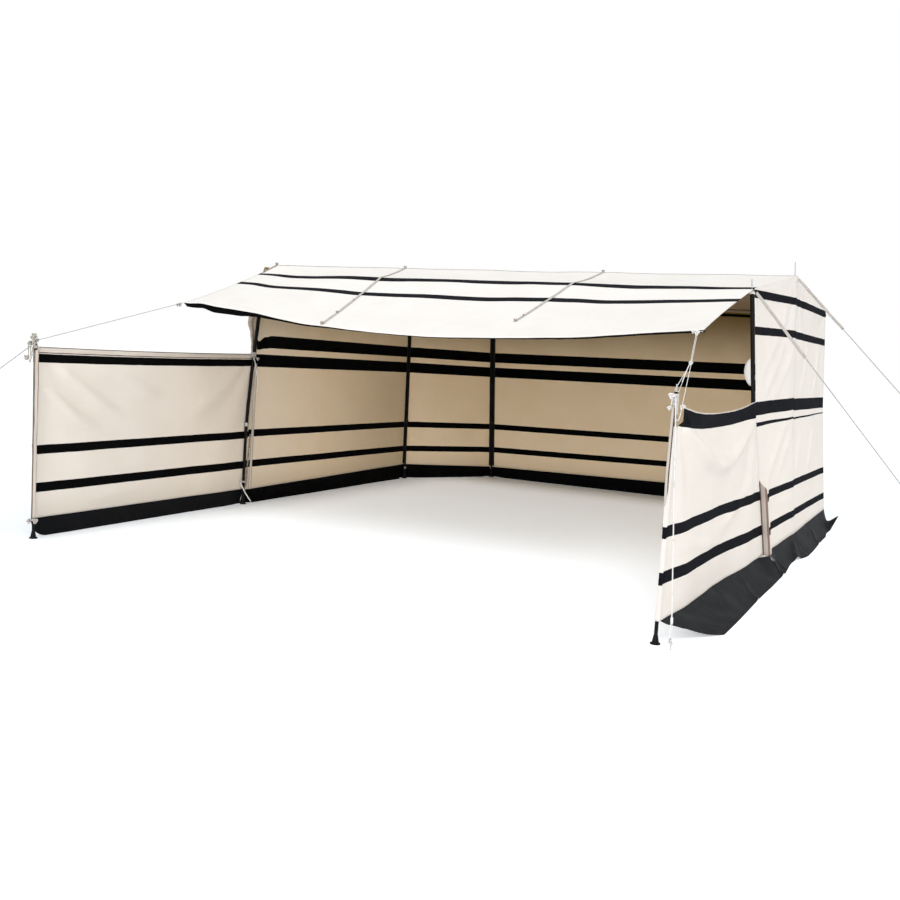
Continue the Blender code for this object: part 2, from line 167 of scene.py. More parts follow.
# %% [markdown]
# ## Cotton canvas
#
# The canvas is a plain weave of thick and thin cotton yarns, cream with black bands dyed across it.
# The bands could be separate strips of mesh, but then every fold would have to be cut along them.
# Here each sheet carries its own metres as UV coordinates, along the cloth and up it, and the shader
# compares the second one with the height of each band. So a band follows every fold.

# %% The yarns
YARN_PITCH = 0.0014
YARN_DEPTH = 0.0004
WAVE_NODE_TURNS = 20.0      # a wave texture of scale 1 makes 20 radians in a metre
WEAVE_STRENGTH = 0.35
SLUB_SCALES = (3.0, 210.0)  # a slub is long along its yarn and thin across it


def weave(recipe, place, pitch, depth, below=None):
    """Yarns that cross at right angles, as bump."""
    inputs = {"Vector": place, "Scale": math.tau / (WAVE_NODE_TURNS * pitch)}
    warp = recipe.step("ShaderNodeTexWave", inputs, output=1, bands_direction="X")
    weft = recipe.step("ShaderNodeTexWave", inputs, output=1, bands_direction="Y")
    return recipe.bump(recipe.math("MAXIMUM", warp, weft), WEAVE_STRENGTH, depth, below)


def slubs(recipe, place):
    """Thick and thin places of the yarns, both ways of the weave."""
    long, thin = SLUB_SCALES
    weft = recipe.stretched_noise(place, (long, thin, 1.0), 3.0)
    warp = recipe.stretched_noise(place, (thin, long, 1.0), 3.0)
    return recipe.math("MULTIPLY_ADD", weft, 0.5, recipe.math("MULTIPLY", warp, 0.5))


# %% The dyed bands
def dyed_bands(recipe, height, far, bands, taper):
    """1 on a band and 0 beside it. A band is its lowest and highest metre up the cloth. taper adds one that
    narrows: its two heights at the start of the cloth, its two at the end, and the metres between them."""
    dyed = None
    for low, high in bands:
        inside = recipe.math("COMPARE", height, (low + high) / 2, (high - low) / 2)
        dyed = inside if dyed is None else recipe.math("MAXIMUM", dyed, inside)
    if taper is not None:
        (low_a, high_a), (low_b, high_b), run = taper
        middle_a, middle_b = (low_a + high_a) / 2, (low_b + high_b) / 2
        half_a, half_b = (high_a - low_a) / 2, (high_b - low_b) / 2
        middle = recipe.math("MULTIPLY_ADD", far, (middle_b - middle_a) / run, middle_a)
        half_width = recipe.math("MULTIPLY_ADD", far, (half_b - half_a) / run, half_a)
        dyed = recipe.math("MAXIMUM", dyed, recipe.math("COMPARE", height, middle, half_width))
    return dyed


# %% [markdown]
# ## Painted light and shade on the canvas
#
# The canvas has a whiter outside and a warmer inside, as painted light and shade. Inside, the cloth
# is painted browner toward the roof and toward the closed corners, and darker near the ground, as
# painted shade, and paler toward the open side, as painted light. Each of these could be painted on
# an image, but a ramp over the cloth's own metres does it with two numbers. A little noise in the
# ramp keeps its edge from looking like a line.

# %% Painted shade: browner toward the roof and the corners, darker near the ground
# Painted shade: the brown toward the roof and the corners, and the dimmer light that passes there
SMOKE_BROWN = (0.275, 0.187, 0.055)
SMOKE_LIGHT = (0.10, 0.05, 0.015)
SMOKE_DEPTH = 0.95          # metres in which the cloth turns from cream to brown
SMOKE_WANDER = 0.10
AGED_SHARE = 0.32
# Painted shade: greyer and browner near the ground
SOIL = (0.50, 0.44, 0.36)
SOIL_SHARE = 0.45
SOIL_FROM, SOIL_FULL = 0.42, 0.12
SOIL_WANDER = 0.12


def browned(recipe, height, far, mottled, smoked, aged):
    """How much painted shade the cloth gets. smoked is the height from which it is painted browner toward the
    roof, and aged the two metres along it between which it is painted browner toward a corner."""
    uneven = recipe.math("MULTIPLY_ADD", mottled, SMOKE_WANDER, height)
    brown = recipe.ramp(uneven, smoked, smoked + SMOKE_DEPTH)
    # Painted shade: browner toward a closed corner
    if aged is not None:
        aging = recipe.math("MULTIPLY", recipe.ramp(far, *aged), AGED_SHARE)
        brown = recipe.math("MAXIMUM", brown, aging)
    return brown


def splashed(recipe, height, mottled):
    """How much painted shade the cloth gets near the ground."""
    uneven = recipe.math("MULTIPLY_ADD", mottled, SOIL_WANDER, height)
    return recipe.math("MULTIPLY", recipe.ramp(uneven, SOIL_FROM, SOIL_FULL), SOIL_SHARE)


# %% Canvas finish
THROUGH_SHARE = 0.35
DYE_WANDER = 0.004
DYE_WANDER_SCALE = 9.0
DYE_THIN = 1.9              # the dye is this much paler where it took badly
DYE_LIGHT = (0.004, 0.004, 0.004)
MOTTLE_SCALE = 2.6
SLUB_CONTRAST = 1.2
RUMPLE_SCALE = 7.0
RUMPLE_DEPTH = 0.012


def canvas_finish(
    name,
    yarn,
    dye,
    bands,
    taper=None,
    through_share=THROUGH_SHARE,
    smoked=None,
    aged=None,
    aired=None,
    soiled=False,
):
    """Woven cotton. yarn holds its cream, the shade of the cream, and the light that passes through it. aired
    holds two metres along the cloth and the paler cream it has past the second, as painted light."""
    cream, shade, passed = yarn
    recipe = Recipe(name, roughness=0.9, gloss=0.06)
    place = recipe.metres()
    far = recipe.axis(place, 0)
    wander = recipe.math("SUBTRACT", recipe.noise(place, DYE_WANDER_SCALE), 0.5)
    height = recipe.math("MULTIPLY_ADD", wander, DYE_WANDER, recipe.axis(place, 1))
    dyed = dyed_bands(recipe, height, far, bands, taper)
    mottled = recipe.noise(place, MOTTLE_SCALE, 5.0)
    slub = slubs(recipe, place)
    uneven = recipe.math("MULTIPLY_ADD", recipe.math("SUBTRACT", slub, 0.5), SLUB_CONTRAST, mottled)
    cloth = recipe.blend(recipe.ramp(uneven, 0.25, 0.8), cream, shade)
    # Painted light: a paler cream toward the open side
    if aired is not None:
        shut, open_air, aired_cream = aired
        cloth = recipe.blend(recipe.ramp(far, shut, open_air), cloth, aired_cream)
    # Painted shade: browner toward the roof and the corners
    if smoked is not None:
        brown = browned(recipe, height, far, mottled, smoked, aged)
        cloth = recipe.blend(brown, cloth, SMOKE_BROWN)
        passed = recipe.blend(brown, passed, SMOKE_LIGHT)
    # Painted shade: darker near the ground
    if soiled:
        cloth = recipe.blend(splashed(recipe, height, mottled), cloth, SOIL)
    if dyed is not None:
        black = recipe.blend(recipe.ramp(slub, 0.35, 0.7), dye, [c * DYE_THIN for c in dye])
        cloth = recipe.blend(dyed, cloth, black)
        passed = recipe.blend(dyed, passed, DYE_LIGHT)
    rumple = recipe.bump(recipe.noise(place, RUMPLE_SCALE, 4.0), 0.35, RUMPLE_DEPTH)
    woven = weave(recipe, place, YARN_PITCH, YARN_DEPTH, rumple)
    recipe.finish(cloth, woven)
    glow = recipe.step("ShaderNodeBsdfTranslucent", {"Color": passed, "Normal": woven})
    lit = recipe.step("ShaderNodeMixShader", {0: through_share, 1: recipe.shader.outputs[0], 2: glow})
    recipe.feed(recipe.tree.nodes["Material Output"].inputs["Surface"], lit)
    return recipe.material


# %% Colours of the canvas
# Each yarn has its cream, the shade of that cream, and the light that passes through it
# One canvas has several copies of these colours, each set to the light where it hangs, as painted light and
# shade: the outside whitest, a darker copy on the roof's top where more light falls, a creamier copy on the
# right wing's outside, a warmer inside with darker dye under the roof, a paler inside on the wings, and a
# dark brown underside of the roof
BLEACHED_LIGHT = (0.92, 0.89, 0.84)
PALE_LIGHT = (0.84, 0.74, 0.62)
OUTSIDE = ((0.825, 0.81, 0.80), (0.79, 0.77, 0.75), BLEACHED_LIGHT)
LESS_BLEACHED = ((0.83, 0.80, 0.765), (0.79, 0.75, 0.71), BLEACHED_LIGHT)
ON_ROOF = ((0.74, 0.725, 0.70), (0.705, 0.685, 0.655), BLEACHED_LIGHT)
INSIDE = ((0.95, 0.88, 0.745), (0.905, 0.82, 0.66), (0.97, 0.68, 0.34))
OPEN_AIR = ((0.85, 0.81, 0.76), (0.82, 0.77, 0.71), PALE_LIGHT)
UNDER_ROOF = ((0.33, 0.255, 0.165), (0.29, 0.22, 0.14), (0.40, 0.28, 0.16))
# Paler creams, as painted light: toward the left wall's open front, and toward the left wing's inner end
SIDE_CREAM = (0.95, 0.905, 0.83)
CORNER_CREAM = (0.92, 0.84, 0.735)
DYE_OUTSIDE = (0.007, 0.0075, 0.010)
DYE_INSIDE = (0.002, 0.002, 0.0022)

# %% Both sides of each canvas
LEFT_BANDS = [(0.327, 0.393), (0.612, 0.678), (1.256, 1.374), (1.436, 1.554), (2.12, 2.15)]
RIGHT_BANDS = [(0.328, 0.388), (0.582, 0.640), (1.216, 1.320), (1.833, 1.897), (2.114, 2.177)]
LEFT_WING_BANDS = [(0.335, 0.405), (0.617, 0.684), (1.294, 1.357)]
RIGHT_WING_BANDS = [(0.315, 0.388), (0.580, 0.648), (1.305, 1.404)]
ROOF_BANDS = [(0.776, 0.858), (1.130, 1.218), (4.300, 4.375)]
RIGHT_REAR_TAPER = ((1.162, 1.172), (1.141, 1.158), 1.81)
RIGHT_FRONT_TAPER = ((1.141, 1.158), (1.131, 1.163), 1.29)
SMOKED_FROM = 1.35


def both_sides(name, bands, taper=None, outer=OUTSIDE, inner=INSIDE, through_share=THROUGH_SHARE, **wear):
    """An outside and an inside finish, from the yarns of the two sides. The painted light and shade is the
    inside's.
    """
    outside = canvas_finish(name + "_outside", outer, DYE_OUTSIDE, bands, taper, through_share)
    return outside, canvas_finish(name + "_inside", inner, DYE_INSIDE, bands, taper, through_share, **wear)


left_canvas = both_sides(
    "left_canvas", LEFT_BANDS, smoked=SMOKED_FROM, aged=(1.0, 3.2), aired=(1.3, 0.1, SIDE_CREAM), soiled=True
)
rear_canvas = both_sides("rear_canvas", LEFT_BANDS, smoked=SMOKED_FROM, soiled=True)
right_rear_canvas = both_sides("right_rear_canvas", RIGHT_BANDS, RIGHT_REAR_TAPER)
right_front_canvas = both_sides("right_front_canvas", RIGHT_BANDS, RIGHT_FRONT_TAPER)
left_wing_canvas = both_sides(
    "left_wing_canvas", LEFT_WING_BANDS, inner=OPEN_AIR, aired=(0.9, 2.5, CORNER_CREAM), soiled=True
)
right_wing_canvas = both_sides("right_wing_canvas", RIGHT_WING_BANDS, outer=LESS_BLEACHED, inner=OPEN_AIR)
roof_canvas = both_sides("roof_canvas", ROOF_BANDS, outer=ON_ROOF, inner=UNDER_ROOF, through_share=0.08)
plain_canvas = canvas_finish("plain_canvas", OUTSIDE, DYE_OUTSIDE, [])
print("canvas finishes:", len(bpy.data.materials))

# %% [markdown]
# ## Sod cloth, webbing, rope, steel and coated tube
#
# The sod cloth is a black coated fabric, a little shinier than canvas and dusty where it lies on the
# ground. Where it hangs inside the shelter and on the left wing, its copies are darker, as painted
# shade. The webbing is a coarse rib with brown stains at its edges. The rope is white and laid in
# three strands, with a greyer copy for the left wing pole's bunch, as painted shade. The tubes have a
# satin black coat, scuffed where one slides in the other, and bare steel pins on top. A plain colour
# would do from far off, but up close it is the dust, the stains and the scuffs that tell these black
# and white things apart, so each recipe blends two colours.


# %% Sod cloth finish
def sod_finish(name, clean, dusty, gloss):
    recipe = Recipe(name, roughness=0.74, gloss=gloss)
    place = recipe.metres()
    dust = recipe.ramp(recipe.noise(place, 3.5, 6.0), 0.45, 0.85)
    creases = recipe.bump(recipe.noise(place, 14.0, 5.0), 0.5, 0.01)
    return recipe.finish(recipe.blend(dust, clean, dusty), weave(recipe, place, 0.0011, 0.0003, creases))


sod_cloth = sod_finish("dusty_sod_cloth", (0.007, 0.008, 0.010), (0.022, 0.023, 0.026), 0.12)
# Darker copies of the sod cloth, as painted shade: the darkest inside the shelter, the other on the left wing
clean_sod_cloth = sod_finish("clean_sod_cloth", (0.002, 0.002, 0.0024), (0.004, 0.004, 0.0045), 0.03)
wing_sod_cloth = sod_finish("wing_sod_cloth", (0.0045, 0.0048, 0.0056), (0.009, 0.0095, 0.0105), 0.06)


# %% Webbing finish
def webbing_finish(name, pale, brown, stain):
    """Ribbed tape. stain is how much of it is brown."""
    recipe = Recipe(name, roughness=0.9)
    place = recipe.metres()
    blot = recipe.stretched_noise(place, (60.0, 22.0, 1.0), 4.0)
    colour = recipe.blend(recipe.ramp(blot, 0.62 - stain, 0.92 - stain), pale, brown)
    return recipe.finish(colour, weave(recipe, place, 0.0022, 0.0006))


webbing = webbing_finish("beige_webbing", (0.42, 0.39, 0.365), (0.26, 0.22, 0.19), 0.12)
stained_webbing = webbing_finish("stained_webbing", (0.50, 0.44, 0.39), (0.16, 0.12, 0.10), 0.30)
black_tape = webbing_finish("black_tape", (0.006, 0.006, 0.007), (0.012, 0.011, 0.011), 0.2)
seam_thread = webbing_finish("seam_thread", (0.52, 0.49, 0.46), (0.36, 0.32, 0.28), 0.15)


# %% Rope finish
def rope_finish(name, clean, dirty):
    recipe = Recipe(name, roughness=0.85, gloss=0.25)
    place = recipe.metres()
    grime = recipe.ramp(recipe.noise(place, 30.0, 4.0), 0.5, 0.8)
    return recipe.finish(recipe.blend(grime, clean, dirty), weave(recipe, place, 0.0009, 0.0003))


rope_white = rope_finish("white_rope", (0.64, 0.63, 0.61), (0.42, 0.40, 0.37))
# A darker copy of the white rope for the left wing pole's bunch, as painted shade
rope_grey = rope_finish("grey_rope", (0.40, 0.37, 0.33), (0.20, 0.17, 0.14))
guy_line = rope_finish("guy_line", (0.33, 0.325, 0.32), (0.25, 0.24, 0.23))

# %% Metal finishes
COAT = (0.003, 0.003, 0.0035)
SCUFFED_COAT = (0.020, 0.020, 0.022)
BARE_STEEL = (0.42, 0.42, 0.43)


def coated_finish(name, pin_from):
    """Black coat with scuffs, and bare steel above the height where the pin starts."""
    recipe = Recipe(name, roughness=0.5, gloss=0.11)
    place = recipe.step("ShaderNodeNewGeometry")
    bare = recipe.math("GREATER_THAN", recipe.axis(place, 2), pin_from)
    scratched = recipe.stretched_noise(place, (90.0, 90.0, 9.0), 5.0)
    coat = recipe.blend(recipe.ramp(scratched, 0.62, 0.78), COAT, SCUFFED_COAT)
    recipe.feed(recipe.shader.inputs["Metallic"], bare)
    return recipe.finish(recipe.blend(bare, coat, BARE_STEEL), recipe.bump(scratched, 0.25, 0.0006))


def metal_finish(name, colour, roughness):
    """Zinc or alloy, with the faint grain of its crystals."""
    recipe = Recipe(name, roughness=roughness, metallic=1.0)
    spangle = recipe.noise(recipe.step("ShaderNodeNewGeometry"), 160.0, 4.0)
    mixed = recipe.blend(recipe.ramp(spangle, 0.4, 0.6), colour, [c * 0.65 for c in colour])
    return recipe.finish(mixed, recipe.bump(spangle, 0.3, 0.0005))


zinc = metal_finish("zinc_steel", (0.62, 0.62, 0.61), 0.38)
alloy = metal_finish("grey_alloy", (0.48, 0.47, 0.45), 0.5)
dark_alloy = metal_finish("dark_alloy", (0.035, 0.035, 0.036), 0.55)
print("all finishes:", len(bpy.data.materials))

# %% [markdown]
# ## Building a sheet
#
# Every cloth here is a grid of points. The faces join neighbouring points, the UV map holds metres,
# and a Solidify modifier gives the sheet its real thickness of a millimetre or so. Solidify can put
# a second material on the back, which gives the inside its own warmer colours, as painted shade. A
# cloth simulation would find the sag by itself, but these cloths are pulled tight, and what shows on
# them is where they are tied. So their sag and folds are placed in code.

# %% Small helpers
UP = Vector((0.0, 0.0, 1.0))


def smooth(value, low, high):
    """0 at low and 1 at high, with a soft start and end."""
    share = min(max((value - low) / (high - low), 0.0), 1.0)
    return share * share * (3.0 - 2.0 * share)


def between(a, b, share):
    return a + (b - a) * share


def along_table(table, value):
    """A smooth value between the two nearest entries of a rising table of pairs."""
    for (low, a), (high, b) in zip(table, table[1:]):
        if value <= high:
            return between(a, b, smooth(value, low, high))
    return table[-1][1]


def level(direction):
    """The same direction laid level, one metre long."""
    return Vector((direction.x, direction.y, 0.0)).normalized()


def from_run(place, start, end):
    """How far a point is from a straight run, and the share of the run that lies before it."""
    start, end = Vector(start), Vector(end)
    run = end - start
    share = min(max((place - start).dot(run) / run.length_squared, 0.0), 1.0)
    return (place - start - run * share).length, share


# %% Pieces
def put(piece, slot, *nodes):
    """The piece belongs to the shelter, and stands for the CAD nodes named."""
    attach(piece, "root")
    if nodes:
        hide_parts(*nodes)
    return piece


def mesh_piece(name, points, faces, places, finishes):
    """A smooth mesh with metres as UV coordinates, one pair for each point."""
    mesh = bpy.data.meshes.new(name)
    mesh.from_pydata([tuple(p) for p in points], [], faces)
    layer = mesh.uv_layers.new(name="metres")
    for loop in mesh.loops:
        layer.data[loop.index].uv = places[loop.vertex_index]
    for finish in finishes:
        mesh.materials.append(finish)
    mesh.shade_smooth()
    piece = bpy.data.objects.new(name, mesh)
    bpy.context.scene.collection.objects.link(piece)
    return piece


# %% Sheets
CANVAS_THICKNESS = 0.0016


def sheet_piece(name, grid, finishes, thickness):
    """A sheet through rows of (point, along, up). Its front looks along up × along of the grid."""
    wide = len(grid[0])
    points = [cell[0] for row in grid for cell in row]
    places = [(cell[1], cell[2]) for row in grid for cell in row]
    faces = []
    for r in range(len(grid) - 1):
        for c in range(wide - 1):
            low = r * wide + c
            faces.append((low, low + wide, low + wide + 1, low + 1))
    piece = mesh_piece(name, points, faces, places, finishes)
    skin = piece.modifiers.new("Thickness", "SOLIDIFY")
    skin.thickness = thickness
    skin.offset = 0.0
    skin.use_even_offset = True
    skin.material_offset = len(finishes) - 1
    return piece


def cells(rows, columns, cell):
    """A grid. cell gives one (point, along, up) for a share of the rows and a share of the columns."""
    return [[cell(row / rows, column / columns) for column in range(columns + 1)] for row in range(rows + 1)]


def grid_area(grid):
    """Square metres of a grid, as the sum of its faces."""
    total = 0.0
    for low, high in zip(grid, grid[1:]):
        for c in range(len(low) - 1):
            a, b, d, e = low[c][0], low[c + 1][0], high[c][0], high[c + 1][0]
            total += (b - a).cross(d - a).length / 2 + (d - e).cross(b - e).length / 2
    return total


def hang(name, grid, finishes, slot, flat, held, rests_on, *nodes, thickness=CANVAS_THICKNESS):
    """A sheet of cloth. flat, the size it was cut to before it was hung, is not used."""
    piece = put(sheet_piece(name, grid, finishes, thickness), slot, *nodes)


# %% [markdown]
# ## The poles
#
# Each pole is a pair of steel tubes, the thinner one sliding in the thicker, on a round rubber foot.
# Their CAD shapes are right, so they stay, and take the coated finish. The other pieces here need to
# know where each pole stands and how it leans, so the same places are written down once more.

# %% Where the poles stand
BOW_SHAPE = 0.8             # under 1, the bow is fullest below the pole's middle
PIN_CLEAR = 0.002
NO_PIN = 9.0


class Pole:
    """A pole's foot, top and radius. bow is how far its middle is bent forward by the awning's pull."""

    def __init__(self, foot, top, height, radius=0.016, bow=0.0):
        self.foot = Vector((*foot, 0.0))
        self.top = Vector((*top, height))
        self.radius = radius
        self.bow = bow

    def at(self, height):
        return self.foot.lerp(self.top, height / self.top.z)

    def bowed(self, height):
        share = min(max(height / self.top.z, 0.0), 1.0)
        return self.at(height) - Vector((0.0, self.bow * math.sin(math.pi * share**BOW_SHAPE), 0.0))


def refinish(node_name, finish):
    """A new finish on a CAD node, whose shape stays."""
    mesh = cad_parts[node_name].data
    mesh.materials.clear()
    mesh.materials.append(finish)


POLES = {
    "left_wing": Pole((0, -2.62), (-0.035, -2.62), 1.43, 0.013),
    "left_front": Pole((0, 0), (0.035, 0.14), 2.185, bow=0.07),
    "left_rear": Pole((0.03, 3.20), (-0.01, 3.20), 2.17),
    "rear_left": Pole((0.68, 4.30), (0.55, 4.30), 2.17),
    "rear_right": Pole((4.15, 4.30), (4.02, 4.30), 2.17),
    "right_rear": Pole((4.765, 3.20), (4.635, 3.20), 2.17),
    "right_ridge": Pole((4.765, 1.39), (4.627, 1.39), 2.375),
    "right_front": Pole((4.735, 0.10), (4.53, 0.10), 2.17),
    "right_wing": Pole((4.70, -2.62), (4.706, -2.62), 1.43, 0.013),
}
left_wing_pole, right_wing_pole = POLES["left_wing"], POLES["right_wing"]
left_front_pole, right_front_pole = POLES["left_front"], POLES["right_front"]
for name, pole in POLES.items():
    refinish(name + "_pole", coated_finish(name + "_tube", pole.top.z + PIN_CLEAR))
refinish("ridge_bar", coated_finish("ridge_tube", NO_PIN))

# %% [markdown]
# ## The clamps
#
# What the CAD leaves out is the clamp where the two tubes join: a split collar with a thumb screw.
# It could be cut from a cylinder, but it is turned from a short profile here, like a part on a
# lathe, because that gives its rounded lips for few faces.


# %% Turned parts
def ring_faces(rings, sides, first=0):
    """The faces between rings of points. first is the number of the first ring's first point."""
    faces = []
    for ring in range(rings - 1):
        low = first + ring * sides
        for side in range(sides):
            after = (side + 1) % sides
            faces.append((low + side, low + after, low + sides + after, low + sides + side))
    return faces


def turned(profile, base, axis, sides):
    """Points and faces of a closed turned part. profile holds (height, radius) from end to end."""
    axis = Vector(axis).normalized()
    across = axis.orthogonal().normalized()
    other = axis.cross(across)
    points = [base + axis * profile[0][0]]
    for height, radius in profile:
        for side in range(sides):
            angle = math.tau * side / sides
            outward = across * math.cos(angle) + other * math.sin(angle)
            points.append(base + axis * height + outward * radius)
    points.append(base + axis * profile[-1][0])
    faces = ring_faces(len(profile), sides, 1)
    last = len(points) - 1 - sides
    for side in range(sides):
        after = (side + 1) % sides
        faces.append((0, 1 + after, 1 + side))
        faces.append((last + side, last + after, len(points) - 1))
    return points, faces


def joined(name, parts, finish):
    """One mesh from several lists of (points, faces)."""
    points, faces = [], []
    for some_points, some_faces in parts:
        start = len(points)
        points += some_points
        faces += [tuple(start + index for index in face) for face in some_faces]
    places = [(p.x + p.y, p.z) for p in points]
    piece = mesh_piece(name, points, faces, places, [finish])
    piece.data.set_sharp_from_angle(angle=math.radians(40))
    return piece


# %% Clamps where the tubes join
CLAMP_HEIGHT = 0.68
LEFT_FRONT_CLAMP_HEIGHT = 0.755
CLAMP_PROFILE = [
    (-0.022, 0.012), (-0.022, 0.0185), (-0.019, 0.0205), (-0.004, 0.0205),
    (-0.002, 0.0225), (0.012, 0.0225), (0.016, 0.0190), (0.016, 0.012),
]
SCREW_OFFSET = 0.019
SCREW_PROFILE = [
    (0.0, 0.004), (0.012, 0.004), (0.012, 0.009), (0.015, 0.0105), (0.021, 0.0105), (0.023, 0.008),
]
# The level direction of each clamp's screw. The wing poles' clamps have none
SCREWS = {
    "left_wing": None,
    "left_front": (1, -1),
    "left_rear": (1, -1),
    "rear_left": (0.3, -1),
    "rear_right": (-0.3, -1),
    "right_rear": (-1, -1),
    "right_ridge": (-1, -0.2),
    "right_front": (-1, -1),
    "right_wing": None,
}
for name, toward in SCREWS.items():
    pole = POLES[name]
    height = LEFT_FRONT_CLAMP_HEIGHT if name == "left_front" else CLAMP_HEIGHT
    middle = pole.bowed(height)
    lean = (pole.bowed(height + 0.02) - middle).normalized()
    size = pole.radius / 0.016
    parts = [turned([(h, r * size) for h, r in CLAMP_PROFILE], middle, lean, 24)]
    if toward is not None:
        side = Vector((*toward, 0.0)).normalized()
        parts.append(turned(SCREW_PROFILE, middle + side * SCREW_OFFSET * size, side, 12))
    finish = dark_alloy if "rear" in name or "ridge" in name else alloy
    put(joined(name + "_clamp", parts, finish), "pole")
print("clamps:", len(SCREWS))

# %% [markdown]
# ## The canvas walls
#
# A wall is a length of canvas pulled tight between two poles. It could be simulated, but a tight
# cloth hardly moves, and its folds are easier to place: soft waves that fade out at the poles, folds
# that fan out from the upper corners where the cloth is pulled, and small gathers at its sides. Each
# wall is wrapped a little way round its corner poles, so that neighbours meet.

# %% Which way a wall faces
SQUARE_ENOUGH = 0.1
WALL_POLES = [
    "left_wing", "left_front", "left_rear", "rear_left", "rear_right",
    "right_rear", "right_ridge", "right_front", "right_wing",
]


def wall_directions(first, last):
    """Unit vectors along a wall and out of the shelter."""
    along = level(last.foot - first.foot)
    if abs(along.x) < SQUARE_ENOUGH:
        along = Vector((0.0, math.copysign(1.0, along.y), 0.0))
    return along, Vector((-along.y, along.x, 0.0))


OUTS = [wall_directions(POLES[a], POLES[b])[1] for a, b in zip(WALL_POLES, WALL_POLES[1:])]
print("walls:", len(OUTS))

# %% Folds in a tight cloth
FREE_OF_POLE = 0.22         # metres from a pole at which the cloth moves freely
FAN_SPOKES = 9.0
FAN_REACH = 0.9
GATHER_REACH = 0.05
FOLD_FADE = 0.32            # share of a placed fold in which each of its ends fades


def corner_fan(along, down, seed):
    """Folds that spread from a pulled corner. along and down are metres from it."""
    distance = math.hypot(along, down)
    angle = math.atan2(down, along)
    uneven = 0.8 * noise.noise(Vector((angle * 2.0, distance, seed)))
    wave = math.sin(angle * FAN_SPOKES + seed * 1.7 + uneven)
    return wave * smooth(distance, 0.0, 0.15) * math.exp(-distance / FAN_REACH)


def placed_fold(folds, along, height):
    """How far the listed folds stand out here. Each has the points it runs through, as metres along
    the wall and above the ground, its width and its height. It fades toward its ends."""
    highest = 0.0
    place = Vector((along, height))
    for points, width, rise in folds:
        runs = len(points) - 1
        nearest, passed = min(
            (away, (index + share) / runs)
            for index, (away, share) in enumerate(from_run(place, a, b) for a, b in zip(points, points[1:]))
        )
        fade = smooth(min(passed, 1.0 - passed), 0.0, FOLD_FADE)
        here = rise * math.exp(-3.0 * (nearest / width) ** 2) * fade
        if abs(here) > abs(highest):
            highest = here
    return highest


# %% One wall
OFF_POLE = 0.0205
FLARE_TOP = 1.2             # below this height the right walls stand off their poles
OPENING_TOP = (0.65, 0.72)  # the zip is open below this height
NOTCH_UP = (0.905, 0.935)


